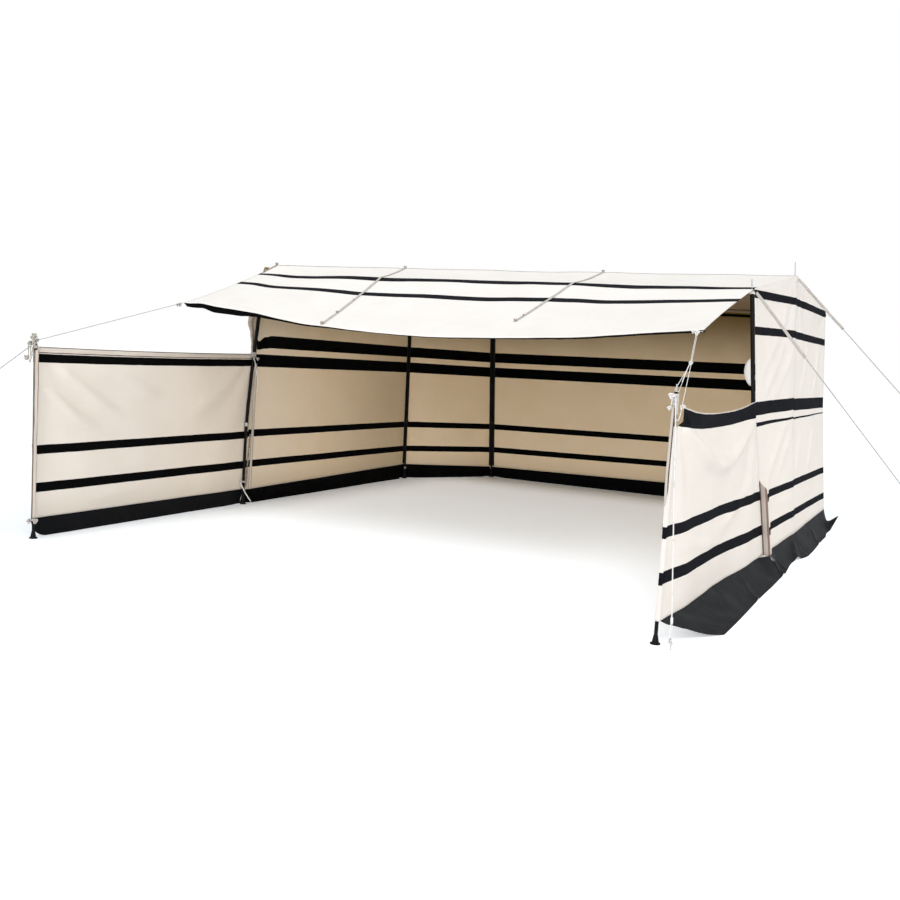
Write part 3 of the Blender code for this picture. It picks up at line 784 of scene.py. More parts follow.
class Wall:
    """Canvas between two neighbours of WALL_POLES. tops and lows are its heights at the two ends. low_rise
    and high_rise say how far its bands stand above their drawn height there. more sets any value below."""

    sag = 0.0               # of its top edge
    flare = (0.0, 0.0)      # how far its foot stands off the poles at the two ends
    opening = 0.0           # how far its open zip stands out at the second pole
    reach = (0.0, 0.0)      # how far it runs on past its second pole, low down and at the top
    notch = 0.0             # how much of that is missing at the upper corner
    follow_top = None       # the drawn height of its top edge, where the upper bands follow that edge
    flat_top = False        # its highest band runs level
    pull = 0.0              # how far the upper bands are pulled down at the first pole
    waves, fans, gathers = 0.008, 0.006, 0.004
    folds = ()

    def __init__(self, name, index, tops, lows, low_rise=(0.0, 0.0), high_rise=(0.0, 0.0), **more):
        self.name, self.index = name, index
        self.tops, self.lows = tops, lows
        self.low_rise, self.high_rise = low_rise, high_rise
        for key, value in more.items():
            setattr(self, key, value)
        self.first, self.last = POLES[WALL_POLES[index]], POLES[WALL_POLES[index + 1]]
        self.along, self.out = wall_directions(self.first, self.last)
        self.width = (self.last.foot - self.first.foot).length
        self.rise_from = (0.4, 1.25) if self.follow_top is None else (0.75, 1.27)

    def top(self, share):
        return between(*self.tops, share) - 4.0 * self.sag * share * (1.0 - share)

    def low(self, share):
        return between(*self.lows, share)

    def soft_folds(self, along, height, down):
        """How far the cloth stands out from its flat plane, in metres. down is metres from its top."""
        seed = self.index * 5.0 + 1.0
        edge = min(along, self.width - along)
        free = smooth(edge, 0.0, FREE_OF_POLE)
        slow = noise.noise(Vector((along * 1.1, height * 0.7, seed)))
        quick = noise.noise(Vector((along * 3.1, height * 1.3, seed + 9.0)))
        out = self.waves * (slow + 0.35 * quick) * free
        out += self.fans * corner_fan(along, down, seed) * free
        out += self.fans * corner_fan(self.width - along, down, seed + 3.0) * free
        near = math.exp(-edge / GATHER_REACH) * smooth(edge, 0.0, 0.02)
        return out + self.gathers * near * noise.noise(Vector((seed, height * 16.0, along * 3.0)))

    def place(self, share, height, lift=0.0, facing=None, folded=True):
        """A point of the cloth, by its share of the wall's length and its height above the ground."""
        flat = self.first.at(height).lerp(self.last.at(height), share)
        along = share * self.width
        up = (height - self.low(share)) / (self.top(share) - self.low(share))
        off = OFF_POLE + lift
        if folded:
            off += self.soft_folds(along, height, self.top(share) - height)
            off += placed_fold(self.folds, along, height) * smooth(min(share, 1.0 - share), 0.0, 0.04)
        flare = between(*self.flare, share) * max(0.0, 1.0 - height / FLARE_TOP)
        flare += self.opening * (1.0 - smooth(height, *OPENING_TOP)) * smooth(share, 0.70, 1.0)
        reach = between(*self.reach, up) - self.notch * smooth(up, *NOTCH_UP)
        past = self.along * reach * smooth(share, 0.8, 1.0)
        return flat + (facing or self.out) * off + self.out * flare + past

    def drawn_height(self, share, height):
        """The height at which this point was before the cloth was pulled, for its bands."""
        high = between(*self.high_rise, share)
        if self.follow_top is not None:
            high = self.top(share) - self.follow_top
        if self.flat_top:
            high *= 1.0 - smooth(height, 1.75, 2.05)
        rise = between(between(*self.low_rise, share), high, smooth(height, *self.rise_from))
        if self.pull:
            along = share * self.width
            wavy = 1.0 + 0.35 * math.sin(along * 38.0)
            rise -= self.pull * wavy * (1.0 - smooth(along, 0.02, 0.26)) * smooth(height, 1.40, 1.52)
        return height - rise

    def columns(self, steps):
        """Shares along the wall, each with the direction the cloth faces there."""
        found = [(step / steps, self.out) for step in range(steps + 1)]
        for turn, share in ((self.index - 1, 0.0), (self.index + 1, 1.0)):
            if not 0 <= turn < len(OUTS) or OUTS[turn].angle(self.out) < 0.09:
                continue
            middle = (OUTS[turn] + self.out).normalized()
            turns = [(share, middle.slerp(self.out, part / 3.0)) for part in range(3)]
            found = turns + found if share == 0.0 else found + turns[::-1]
        return found

    def grid(self, steps, rows):
        columns = self.columns(steps)
        flat = [self.place(share, 1.0, 0.0, facing, False) for share, facing in columns]
        walked = [0.0]
        for a, b in zip(flat, flat[1:]):
            walked.append(walked[-1] + (b - a).length)
        made = []
        for row in range(rows + 1):
            line = []
            for (share, facing), far in zip(columns, walked):
                height = between(self.low(share), self.top(share), row / rows)
                line.append((self.place(share, height, 0.0, facing), far, self.drawn_height(share, height)))
            made.append(line)
        return made


# %% [markdown]
# ## Folds placed one by one
#
# The wings and the right walls show a few large folds: a fan from the left wing's upper corner, a
# swag on the right wing, and slanting pulls beside the right poles. Noise makes folds everywhere
# and none of these. So each is a line drawn on the wall, through points given as metres along it
# and above the ground, with the fold's width and how far it stands out.

# %% Where the large folds run
LEFT_WING_FOLDS = [
    ([(0.10, 1.33), (0.34, 1.18), (0.62, 1.01), (1.00, 0.84)], 0.080, -0.036),
    ([(-0.05, 1.18), (0.20, 1.03), (0.42, 0.88), (0.75, 0.76)], 0.075, -0.032),
    ([(0.40, 1.32), (0.90, 1.17), (1.45, 1.00)], 0.110, -0.026),
    ([(2.60, 1.30), (2.15, 1.06), (1.65, 0.84)], 0.130, -0.018),
    ([(0.30, 0.56), (0.85, 0.47), (1.40, 0.46)], 0.060, -0.008),
    ([(0.35, 0.20), (0.90, 0.26), (1.40, 0.28)], 0.060, -0.009),
]
RIGHT_WING_FOLDS = [
    ([(2.75, 1.30), (2.30, 1.14), (1.95, 1.02), (1.55, 0.95), (1.15, 0.93), (0.80, 1.00)], 0.095, 0.050),
    ([(-0.15, 1.30), (0.35, 1.15), (0.85, 0.99), (1.50, 0.84)], 0.080, 0.032),
    ([(0.20, 0.78), (0.85, 0.61), (1.50, 0.46)], 0.070, 0.016),
    ([(2.50, 0.54), (1.95, 0.47), (1.45, 0.42)], 0.060, 0.009),
]
RIGHT_FRONT_FOLDS = [
    ([(0.20, 1.90), (0.68, 1.58), (1.14, 1.30)], 0.055, 0.019),
    ([(-0.10, 1.86), (0.42, 1.52), (0.90, 1.24)], 0.055, 0.017),
    ([(0.48, 1.92), (0.90, 1.66), (1.30, 1.42)], 0.050, 0.015),
    ([(0.18, 1.20), (0.62, 0.94), (1.05, 0.68)], 0.055, 0.018),
    ([(-0.06, 1.14), (0.34, 0.90), (0.72, 0.66)], 0.055, 0.016),
    ([(0.34, 2.16), (0.40, 2.00), (0.48, 1.86)], 0.045, 0.010),
]
RIGHT_REAR_FOLDS = [
    ([(0.42, 1.92), (0.60, 1.58), (0.80, 1.26)], 0.065, 0.017),
    ([(1.08, 1.92), (1.28, 1.58), (1.50, 1.28)], 0.065, 0.017),
    ([(0.66, 1.14), (0.90, 0.88), (1.14, 0.62)], 0.065, 0.015),
    ([(1.38, 1.18), (1.56, 0.90), (1.76, 0.64)], 0.055, 0.012),
]

# %% The eight walls
HEM = 1.41                  # drawn height of the wings' top edge
left_wing = Wall(
    "left_wing", 0, (1.41, 1.41), (0.145, 0.140),
    sag=0.010, follow_top=HEM, waves=0.012, fans=0.012, folds=LEFT_WING_FOLDS,
)
left_wall = Wall("left_wall", 1, (2.208, 2.16), (0.130, 0.165), (0.016, -0.008), (0.034, -0.006), pull=0.045)
rear_left_wall = Wall("rear_left_wall", 2, (2.16, 2.16), (0.165, 0.125), (-0.008, -0.022), (-0.006, -0.018))
rear_wall = Wall(
    "rear_wall", 3, (2.16, 2.16), (0.125, 0.185), (-0.022, 0.050), (-0.018, 0.055), flat_top=True
)
rear_right_wall = Wall(
    "rear_right_wall", 4, (2.16, 2.16), (0.185, 0.190), (0.05, -0.025), (0.055, 0.0), flat_top=True
)
right_rear_wall = Wall(
    "right_rear_wall", 5, (2.178, 2.389), (0.190, 0.165), (-0.025, -0.006), (-0.002, 0.013),
    flare=(0.045, 0.045), waves=0.011, fans=0.009, folds=RIGHT_REAR_FOLDS,
)
right_front_wall = Wall(
    "right_front_wall", 6, (2.389, 2.187), (0.165, 0.150), (-0.015, -0.024), (0.020, 0.0),
    flare=(0.045, 0.050), opening=0.056, waves=0.011, fans=0.009, folds=RIGHT_FRONT_FOLDS,
)
right_wing = Wall(
    "right_wing", 7, (1.325, 1.345), (0.150, 0.136), (-0.010, 0.036),
    sag=0.058, follow_top=HEM, flare=(0.050, 0.0), reach=(0.012, 0.022), notch=0.15,
    waves=0.017, fans=0.015, folds=RIGHT_WING_FOLDS,
)

# %% Their canvas
WALL_ROWS = 60
COLUMNS_IN_A_METRE = 40
# Each wall has its finishes and the width and length that its canvas was cut to
WALLS = [
    (left_wing, left_wing_canvas, (2.72, 1.29)),
    (left_wall, left_canvas, (3.10, 2.15)),
    (rear_left_wall, rear_canvas, (1.28, 2.05)),
    (rear_wall, rear_canvas, (3.47, 2.05)),
    (rear_right_wall, rear_canvas, (1.28, 2.05)),
    (right_rear_wall, right_rear_canvas, (1.81, 2.26)),
    (right_front_wall, right_front_canvas, (1.29, 2.26)),
    (right_wing, right_wing_canvas, (2.72, 1.25)),
]
for wall, finishes, (width, length) in WALLS:
    grid = wall.grid(max(30, round(wall.width * COLUMNS_IN_A_METRE)), WALL_ROWS)
    flat = (max(width, 1.002 * grid_area(grid) / length), length)
    pole_name = WALL_POLES[wall.index] + "_pole"
    hang(wall.name + "_canvas", grid, finishes, "canvas", flat, "stretched", pole_name, wall.name)

# %% [markdown]
# ## The roof and awning
#
# One cloth covers everything: from its sagging front edge up to the front poles, on to the ridge,
# and down to the rear eaves. Flat panels would show a hard crease at each change of slope, so the
# rows of this grid run through all of them and the sag is added to each row.

# %% Lines that carry the roof
AWNING_LEFT = Vector((0.085, -1.10, 1.82))
AWNING_RIGHT = Vector((4.470, -1.10, 1.82))
FRONT_LEFT = Vector((0.075, -0.02, 2.145))
FRONT_RIGHT = Vector((4.548, 0.088, 2.182))
RIDGE_LEFT = Vector((0.095, 0.200, 2.243))
RIDGE_RIGHT = Vector((4.646, 1.39, 2.383))
REAR_CORNERS = [
    (0.0, Vector((-0.040, 3.20, 2.176))),
    (0.16, Vector((0.537, 4.329, 2.176))),
    (0.84, Vector((4.033, 4.329, 2.176))),
    (1.0, Vector((4.652, 3.20, 2.174))),
]
AWNING_SAG = 0.158
RIDGE_SAG = 0.008
EDGE_BOW = 0.026            # the awning's right edge curves in a little
CORNER_LIFT = 0.026         # the rope pulls the awning up beside its left corner
SLOPE_SAGS = (0.012, 0.010, 0.035)


def rear_line(share):
    for (low, a), (high, b) in zip(REAR_CORNERS, REAR_CORNERS[1:]):
        if share <= high:
            return a.lerp(b, (share - low) / (high - low))
    return REAR_CORNERS[-1][1].copy()


# %% A point of the roof cloth
def roof_place(share, depth, lift=0.0):
    """depth is 0 at the awning's edge, 1 at the front poles, 2 at the ridge and 3 at the rear eaves."""
    bow = math.sin(math.pi * share)
    edge = min(share, 1.0 - share)
    if depth <= 1.0:
        forward = 1.0 - depth
        point = FRONT_LEFT.lerp(FRONT_RIGHT, share).lerp(AWNING_LEFT.lerp(AWNING_RIGHT, share), forward)
        point.z -= AWNING_SAG * bow * forward
        point.z -= SLOPE_SAGS[0] * math.sin(math.pi * depth)
        point.x -= EDGE_BOW * math.sin(math.pi * depth) * smooth(share, 0.93, 1.0)
        point.z += CORNER_LIFT * forward * smooth(share, 0.0, 0.05) * (1.0 - smooth(share, 0.12, 0.30))
        free = smooth(edge, 0.0, 0.08)
    elif depth <= 2.0:
        part = depth - 1.0
        point = FRONT_LEFT.lerp(FRONT_RIGHT, share).lerp(RIDGE_LEFT.lerp(RIDGE_RIGHT, share), part)
        point.z -= (SLOPE_SAGS[1] * math.sin(math.pi * part) + RIDGE_SAG * part) * bow
        free = max(0.0, smooth(edge, 0.0, 0.08) * math.sin(math.pi * min(1.0, 1.5 - part)))
    else:
        part = depth - 2.0
        point = RIDGE_LEFT.lerp(RIDGE_RIGHT, share).lerp(rear_line(share), part)
        point.z -= (SLOPE_SAGS[2] * math.sin(math.pi * part) + RIDGE_SAG * (1.0 - part)) * bow
        free = math.sin(math.pi * part) * smooth(edge, 0.0, 0.05)
    ripple = noise.noise(Vector((share * 7.0, point.y * 0.9, 4.0))) * 0.010
    ripple += noise.noise(Vector((share * 21.0, point.y * 2.0, 8.0))) * 0.003
    point.z += ripple * free + lift
    return point


# %% The roof cloth
AWNING_DEPTH = 1.20
FRONT_SLOPE_DEPTH = 0.80
REAR_SLOPE_DEPTH = 2.6
ROOF_WIDTH = 4.55
ROOF_FLAT = (4.78, 5.60)
ROOF_COLUMNS = 150
ROOF_DEPTHS = [step / 24 for step in range(24)] + [1 + step / 18 for step in range(18)]
ROOF_DEPTHS += [2 + step / 44 for step in range(45)]
# How far the stripes wander from a straight line, at shares of the roof's width
STRIPE_WANDER = [
    (0.0, 0.035), (0.11, -0.035), (0.25, -0.020), (0.42, 0.014), (0.55, 0.006),
    (0.68, 0.012), (0.82, 0.003), (0.92, 0.0), (1.0, 0.050),
]


def roof_metre(depth):
    """How far up the cloth a row is, for its bands."""
    if depth <= 1.0:
        return depth * AWNING_DEPTH
    if depth <= 2.0:
        return AWNING_DEPTH + (depth - 1.0) * FRONT_SLOPE_DEPTH
    return AWNING_DEPTH + FRONT_SLOPE_DEPTH + (depth - 2.0) * REAR_SLOPE_DEPTH


roof_grid = []
for depth in reversed(ROOF_DEPTHS):
    row = []
    for column in range(ROOF_COLUMNS + 1):
        share = column / ROOF_COLUMNS
        metre = roof_metre(depth) - along_table(STRIPE_WANDER, share)
        row.append((roof_place(share, depth), share * ROOF_WIDTH, metre))
    roof_grid.append(row)
ROOF_NODES = ("rear_roof", "front_roof", "awning")
hang("roof_cloth", roof_grid, roof_canvas, "canvas", ROOF_FLAT, "stretched", "ridge_bar", *ROOF_NODES)

# %% [markdown]
# ## The sod cloth that hangs
#
# A strip of black cloth is sewn to the foot of every wall, to keep wind and rain from running under
# it. On the left and at the rear it hangs straight down and turns in a little. It could be part of
# the wall's sheet, but it is a thinner cloth with its own ripple, so it is a sheet of its own that
# starts where the canvas ends.

# %% Hanging sod cloth
SOD_THICKNESS = 0.0012
SOD_LOWEST = 0.003
SOD_OVERLAP = 0.004
SOD_ROWS = 12
HUNG_LENGTH = 0.22


def hanging_sod(wall, node, turned_in=0.03, rounded=0.0, finish=clean_sod_cloth):
    """rounded is the radius of its lower corner at the wall's first pole."""
    grid = []
    for row in range(SOD_ROWS + 1):
        down = 1.0 - row / SOD_ROWS
        line = []
        for share, facing in wall.columns(max(30, round(wall.width * 36))):
            top = wall.low(share) + SOD_OVERLAP
            along = share * wall.width
            edge = min(along, wall.width - along)
            inward = turned_in * smooth(edge, 0.05, 0.16) * down * down
            outward = 0.014 * (1.0 - smooth(edge, 0.05, 0.16)) * down
            ripple = 0.006 * noise.noise(Vector((along * 4.0, down * 2.0, wall.index + 20.0))) * down
            point = wall.place(share, top * (1.0 - down), 0.0, facing)
            point += facing * (outward + ripple) - wall.out * inward
            lowest = SOD_LOWEST
            if along < rounded:
                cut = rounded - math.sqrt(max(rounded**2 - (rounded - along) ** 2, 0.0))
                lowest += min(cut, top - 0.02)
            point.z = lowest + (top - lowest) * (1.0 - down)
            line.append((point, along, point.z))
        grid.append(line)
    flat = (wall.width + 0.03, HUNG_LENGTH)
    rests_on = wall.name + "_canvas"
    hang(node + "_hung", grid, [finish], "sod_cloth", flat, "hung", rests_on, node, thickness=SOD_THICKNESS)


hanging_sod(left_wing, "left_wing_sod_cloth", turned_in=0.0, rounded=0.15, finish=wing_sod_cloth)
hanging_sod(left_wall, "left_wall_sod_cloth")
hanging_sod(rear_left_wall, "rear_left_sod_cloth")
hanging_sod(rear_wall, "rear_sod_cloth")
hanging_sod(rear_right_wall, "rear_right_sod_cloth")

# %% [markdown]
# ## The sod cloth that lies on the ground
#
# On the right the strip has been pulled out and lies on the ground, with a wandering outer edge,
# creases, and a corner that curls up at the rear. Dropping it by simulation would give some creases,
# but not these, so its outer edge and its larger wrinkles are written down as short tables.

# %% Outer edge and wrinkles
# How far right the edge lies, from the front to the rear
OUTER_EDGE = [
    (-2.62, 4.985), (-2.10, 4.985), (-0.51, 4.955), (0.16, 4.945), (0.81, 4.905),
    (1.30, 4.965), (2.50, 4.935), (2.89, 4.905), (3.20, 4.915),
]
# Each wrinkle has its two ends, its width and its height
WRINKLES = [
    ((4.74, 0.06), (5.00, 0.20), 0.060, 0.030),
    ((4.80, 0.42), (5.00, 0.36), 0.035, 0.022),
    ((4.84, 1.22), (4.98, 0.80), 0.050, 0.028),
    ((4.82, -0.75), (4.96, -0.95), 0.045, 0.012),
    ((4.84, 2.20), (4.96, 2.05), 0.050, 0.018),
]


def wrinkled(x, y):
    """How high the folds of the loose cloth stand here."""
    total = 0.0
    for start, end, width, height in WRINKLES:
        away = from_run(Vector((x, y)), start, end)[0] / width
        total += height * math.exp(-away * away * 3.0)
    return total


# %% Spread sod cloth
SPREAD_ROWS = 16
SPREAD_LENGTH = 0.38
CURL_FROM, CURL_FULL = 3.02, 3.20
CURL_HEIGHT, CURL_OUT = 0.135, 0.045


def spread_sod(wall, node, setback=0.0):
    """setback is how far its front edge runs back from the wing's pole."""
    steps = max(40, round(wall.width * COLUMNS_IN_A_METRE))
    columns = [(step / steps, wall.out) for step in range(steps + 1)]
    if wall is right_rear_wall:
        columns = wall.columns(steps)
    grid = []
    for row in range(SPREAD_ROWS + 1):
        down = 1.0 - row / SPREAD_ROWS
        line = []
        for share, facing in columns:
            top = wall.low(share) + SOD_OVERLAP
            start = wall.place(share, top, 0.0, facing)
            walked = share * wall.width
            if wall is right_wing:
                start.x += right_front_wall.opening * (1.0 - smooth(walked, 0.02, 0.22))
            y = start.y + setback * down * smooth(share, 0.45, 1.0)
            x = between(start.x, along_table(OUTER_EDGE, y), down**1.15)
            crease = noise.noise(Vector((y * 2.4, down * 1.5, 31.0))) * 0.022
            crease += noise.noise(Vector((y * 7.0 + down * 3.0, down * 3.0, 37.0))) * 0.010
            z = SOD_LOWEST + (top - SOD_LOWEST) * (1.0 - down) ** 1.7
            z += max(crease, 0.0) * math.sin(math.pi * min(down * 1.05, 1.0))
            z += wrinkled(x, y) * smooth(down, 0.05, 0.45)
            if wall is right_rear_wall:
                curl = smooth(y, CURL_FROM, CURL_FULL) * smooth(down, 0.35, 1.0)
                z += CURL_HEIGHT * curl
                x += CURL_OUT * curl
            line.append((Vector((x, y, z)), walked, down * 0.3))
        grid.append(line)
    flat = (wall.width + 0.05, SPREAD_LENGTH)
    rests_on = wall.name + "_canvas"
    hang(
        node + "_spread", grid, [sod_cloth], "sod_cloth", flat, "laid", rests_on, node,
        thickness=SOD_THICKNESS,
    )


spread_sod(right_rear_wall, "right_rear_sod_cloth")
spread_sod(right_front_wall, "right_front_sod_cloth")
spread_sod(right_wing, "right_wing_sod_cloth", 0.50)

# %% [markdown]
# ## The awning's hem
#
# The awning's front edge is a dyed hem. The corner ropes pull it flat at the two ends, so it shows
# as a black line there, and between them it turns under. A band in the roof's own finish would be
# as wide everywhere, so the hem is a strip of its own, and a table says how much of it shows.

# %% The awning's front hem
HEM_WIDTH = 0.050
HEM_FLAT = (4.60, HEM_WIDTH)
HEM_SHOWN = [
    (0.0, 0.028), (0.03, 0.036), (0.07, 0.050), (0.12, 0.046), (0.17, 0.028), (0.22, 0.018),
    (0.30, 0.011), (0.42, 0.004), (0.62, 0.004), (0.74, 0.008), (0.90, 0.010), (1.0, 0.012),
]
dyed_canvas = both_sides("dyed_canvas", [(-9.0, 9.0)])


def hem_cell(near, share):
    far = 1.0 - near
    shown = along_table(HEM_SHOWN, share)
    under = math.sqrt(HEM_WIDTH**2 - shown**2)
    point = roof_place(share, 0.0, -0.0018)
    point.z -= shown * far
    point.y += under * far + 0.004 * math.sin(math.pi * far)
    point.z += 0.003 * noise.noise(Vector((share * 60.0, far, 50.0))) * far
    return point, share * 4.4, far * HEM_WIDTH


hang("awning_hem", cells(8, ROOF_COLUMNS, hem_cell), dyed_canvas, "canvas", HEM_FLAT, "hung", "roof_cloth")

# %% [markdown]
# ## The valances
#
# Where the roof lies on the walls, a narrow strip hangs over the joint and keeps rain and light
# out. It follows the wall's top rather than the roof's edge, because that is what it has to cover.

# %% The valances over the walls
VALANCE_HEIGHT = 0.045
VALANCE_OUT = 0.012
VALANCE_IN = 0.006
VALANCE_RISE = 0.014
VALANCE_ROWS = 4
# The valance's inside is dark brown, as painted shade
valance_canvas = both_sides("valance_canvas", [], inner=(SMOKE_BROWN,) * 3, through_share=0.03)
for wall in (left_wall, rear_left_wall, rear_wall, rear_right_wall):
    grid = []
    for row in range(VALANCE_ROWS + 1):
        up = row / VALANCE_ROWS
        line = []
        for share, facing in wall.columns(max(24, round(wall.width * 20))):
            point = wall.place(share, wall.top(share), VALANCE_OUT * (1.0 - up) - VALANCE_IN * up, facing)
            point.z = wall.top(share) + VALANCE_RISE - VALANCE_HEIGHT * (1.0 - up)
            line.append((point, share * wall.width, up * VALANCE_HEIGHT))
        grid.append(line)
    flat = (grid_area(grid) * 1.01 / VALANCE_HEIGHT, VALANCE_HEIGHT)
    name = wall.name.removesuffix("_wall") + "_valance"
    hang(name, grid, valance_canvas, "canvas", flat, "hung", "roof_cloth")

# %% [markdown]
# ## The left wing's rolled hem
#
# The wing's top edge is rolled round a cord and sewn down, which gives a thick, rounded, beige hem
# with a brown line along each side: a line of stitches, drawn wider as painted shade where the roll
# turns away. A bevelled curve would be round, and this one is taller than thick, so it is a loop of
# points carried along the wing.

# %% The rolled hem
HEM_PALE = (0.88, 0.82, 0.75)
HEM_SHADE = (0.78, 0.70, 0.62)
HEM_BROWN = (0.085, 0.060, 0.048)
HEM_LIGHT = (0.45, 0.36, 0.26)
# Brown lines at the roll's lower and upper edge: stitches, drawn wider as painted shade where the roll turns
# away
ROLL_STITCHES = [(-0.001, 0.0065), (0.0395, 0.046)]
ROLL_HEIGHT = 0.045
ROLL_THICK = 0.0065
ROLL_SIDES = 14
ROLL_RINGS = 91
rolled_canvas = canvas_finish("rolled_hem", (HEM_PALE, HEM_SHADE, PALE_LIGHT), HEM_BROWN, ROLL_STITCHES)
points, places = [], []
for ring in range(ROLL_RINGS):
    share = ring / (ROLL_RINGS - 1)
    middle = left_wing.top(share) - 0.002 - ROLL_HEIGHT / 2
    for side in range(ROLL_SIDES):
        angle = math.tau * side / ROLL_SIDES
        up = math.sin(angle) * ROLL_HEIGHT / 2
        off = math.cos(angle) * ROLL_THICK + 0.0015 * noise.noise(Vector((share * 40.0, angle, 2.0)))
        points.append(left_wing.place(share, middle + up) + left_wing.out * off)
        places.append((share * left_wing.width, up + ROLL_HEIGHT / 2))
faces = ring_faces(ROLL_RINGS, ROLL_SIDES)
faces.append(tuple(reversed(range(ROLL_SIDES))))
faces.append(tuple(range(len(points) - ROLL_SIDES, len(points))))
put(mesh_piece("left_wing_rolled_hem", points, faces, places, [rolled_canvas]), "canvas")
print("rolled hem faces:", len(faces))

# %% [markdown]
# ## Rope, knots and loops
#
# A laid rope is three strands that turn round each other, so it is built that way: each strand is a
# thin tube whose centre winds round the rope's own line. A shader can't do this job on a rope that
# stands alone, because its outline stays smooth. Knots are short tubes that follow a trefoil, the
# simplest real knot, and hitches are a few turns of rope wound round a pole.

# %% Tubes along a path
ROPE_RADIUS = 0.0030
LAY_PITCH = 0.020
STRAND_OFFSET, STRAND_RADIUS = 0.48, 0.52   # shares of the rope's radius


def carried_frames(path):
    """Two directions across the path at each point, carried along it so that they don't spin."""
    last = len(path) - 1
    tangents = [(path[min(i + 1, last)] - path[max(i - 1, 0)]).normalized() for i in range(last + 1)]
    side = tangents[0].orthogonal().normalized()
    frames = []
    for tangent in tangents:
        side = (side - tangent * side.dot(tangent)).normalized()
        frames.append((side, tangent.cross(side)))
    return frames


def tube_along(path, radius, sides=8):
    """Points and faces of a closed tube."""
    points = []
    for middle, (side, other) in zip(path, carried_frames(path)):
        for step in range(sides):
            angle = math.tau * step / sides
            points.append(middle + (side * math.cos(angle) + other * math.sin(angle)) * radius)
    faces = ring_faces(len(path), sides)
    faces.append(tuple(reversed(range(sides))))
    faces.append(tuple(range(len(points) - sides, len(points))))
    return points, faces


def even_path(path, step):
    """The same path with points at even distances."""
    spaced = [path[0].copy()]
    for a, b in zip(path, path[1:]):
        count = max(1, math.ceil((b - a).length / step))
        spaced += [a.lerp(b, part / count) for part in range(1, count + 1)]
    return spaced


# %% Laid rope
def laid_rope(start, end, radius=ROPE_RADIUS):
    """Three strands wound round a straight line, as a list of parts."""
    path = even_path([start, end], LAY_PITCH / 6.0)
    frames = carried_frames(path)
    strands = []
    for strand in range(3):
        line, walked = [], 0.0
        for index, (middle, (side, other)) in enumerate(zip(path, frames)):
            walked += (middle - path[max(index - 1, 0)]).length
            angle = math.tau * (walked / LAY_PITCH + strand / 3.0)
            line.append(middle + (side * math.cos(angle) + other * math.sin(angle)) * radius * STRAND_OFFSET)
        strands.append(tube_along(line, radius * STRAND_RADIUS, 5))
    return strands


# %% Knots, hitches and loops
def trefoil(middle, size, spin=0.0):
    """A knot of about this size, across."""
    path = []
    for step in range(49):
        t = math.tau * step / 48
        x = math.sin(t) + 2.0 * math.sin(2.0 * t)
        z = math.cos(t) - 2.0 * math.cos(2.0 * t)
        flat = Vector((x, -math.sin(3.0 * t), z))
        path.append(middle + Matrix.Rotation(spin, 3, "Z") @ (flat * size / 6.0))
    return tube_along(path, size * 0.13, 7)


def knots(middle, table):
    """Knots round a point. Each has its offset from it, its size and its spin."""
    return [trefoil(middle + Vector(offset), size, spin) for offset, size, spin in table]


def hitch(pole, height, turns=3.0, gap=0.0055, radius=ROPE_RADIUS, start=0.0):
    """Turns of rope wound round a pole."""
    path = []
    for step in range(round(turns * 20) + 1):
        angle = start + math.tau * step / 20.0
        middle = pole.bowed(height + gap * step / 20.0)
        path.append(middle + Vector((math.cos(angle), math.sin(angle), 0.0)) * (pole.radius + radius))
    return tube_along(path, radius, 7)


def hanging_loop(a, b, drop, radius):
    """A slack loop between two points."""
    path = []
    for step in range(25):
        share = step / 24
        path.append(a.lerp(b, share) - UP * drop * math.sin(math.pi * share))
    return tube_along(path, radius, 7)


def arc(middle, across, other, radius, start=0.0, turn=math.tau, steps=24):
    """Points of an arc that starts at an angle from across and turns toward other."""
    points = []
    for step in range(steps + 1):
        angle = start + turn * step / steps
        points.append(middle + (across * math.cos(angle) + other * math.sin(angle)) * radius)
    return points


# %% [markdown]
# ## Guy ropes and pegs
#
# Each guy leaves its pole top, or the strap that hangs there, as one line. Low down it passes through
# a runner, goes round the peg and comes back, so that part is double, and sliding the runner tightens
# it. A peg is a steel rod with its top bent over the rope. The CAD has the plain rod and line, and
# these pieces stand in their place.

# %% Where the guys run
PEG_TOP = 0.07
GUY_RADIUS = 0.0041
GUY_STRAPS = {"right_front_guy": 0.624, "right_ridge_guy": 0.575}
STRAIGHT_GUY = "right_wing_guy"
STRAIGHT_GUY_START = Vector((4.711, -2.6405, 1.400))
RUNNER_SHARE, STRAIGHT_RUNNER_SHARE = 0.72, 0.93
ROUND_PEG_HEIGHT = 0.040
ROUND_PEG_RADIUS = 0.0095
LEG_OFFSETS = (0.004, 0.009)    # of the double part's two legs, at the runner and at the peg
# Each guy has its pole, its peg's place, and how far from the pole it starts
GUYS = {
    "left_wing_guy": ("left_wing", (-1.245, -3.65), 0.030),
    "right_front_guy": ("right_front", (6.305, 0.40), 0.030),
    "right_ridge_guy": ("right_ridge", (6.885, 1.60), 0.030),
    "right_wing_guy": ("right_wing", (4.81, -2.70), 0.050),
    "rear_left_guy": ("rear_left", (0.45, 5.60), 0.030),
    "rear_right_guy": ("rear_right", (4.26, 5.60), 0.030),
}


def guy_ends(name):
    pole_name, place, clear = GUYS[name]
    pole = POLES[pole_name]
    start = pole.at(pole.top.z - 0.015)
    end = Vector((*place, PEG_TOP + 0.004))
    return start + level(end - start) * clear, end


# %% Pegs and runners
PEG_ROD = 0.0055
PEG_STRAIGHT = 0.045
PEG_BEND = (0.009, 0.018)   # half the bend's width, and its height
RUNNER_PROFILE = [
    (-0.020, 0.004), (-0.018, 0.0065), (-0.012, 0.0075), (0.012, 0.0075), (0.018, 0.0065), (0.020, 0.004),
]


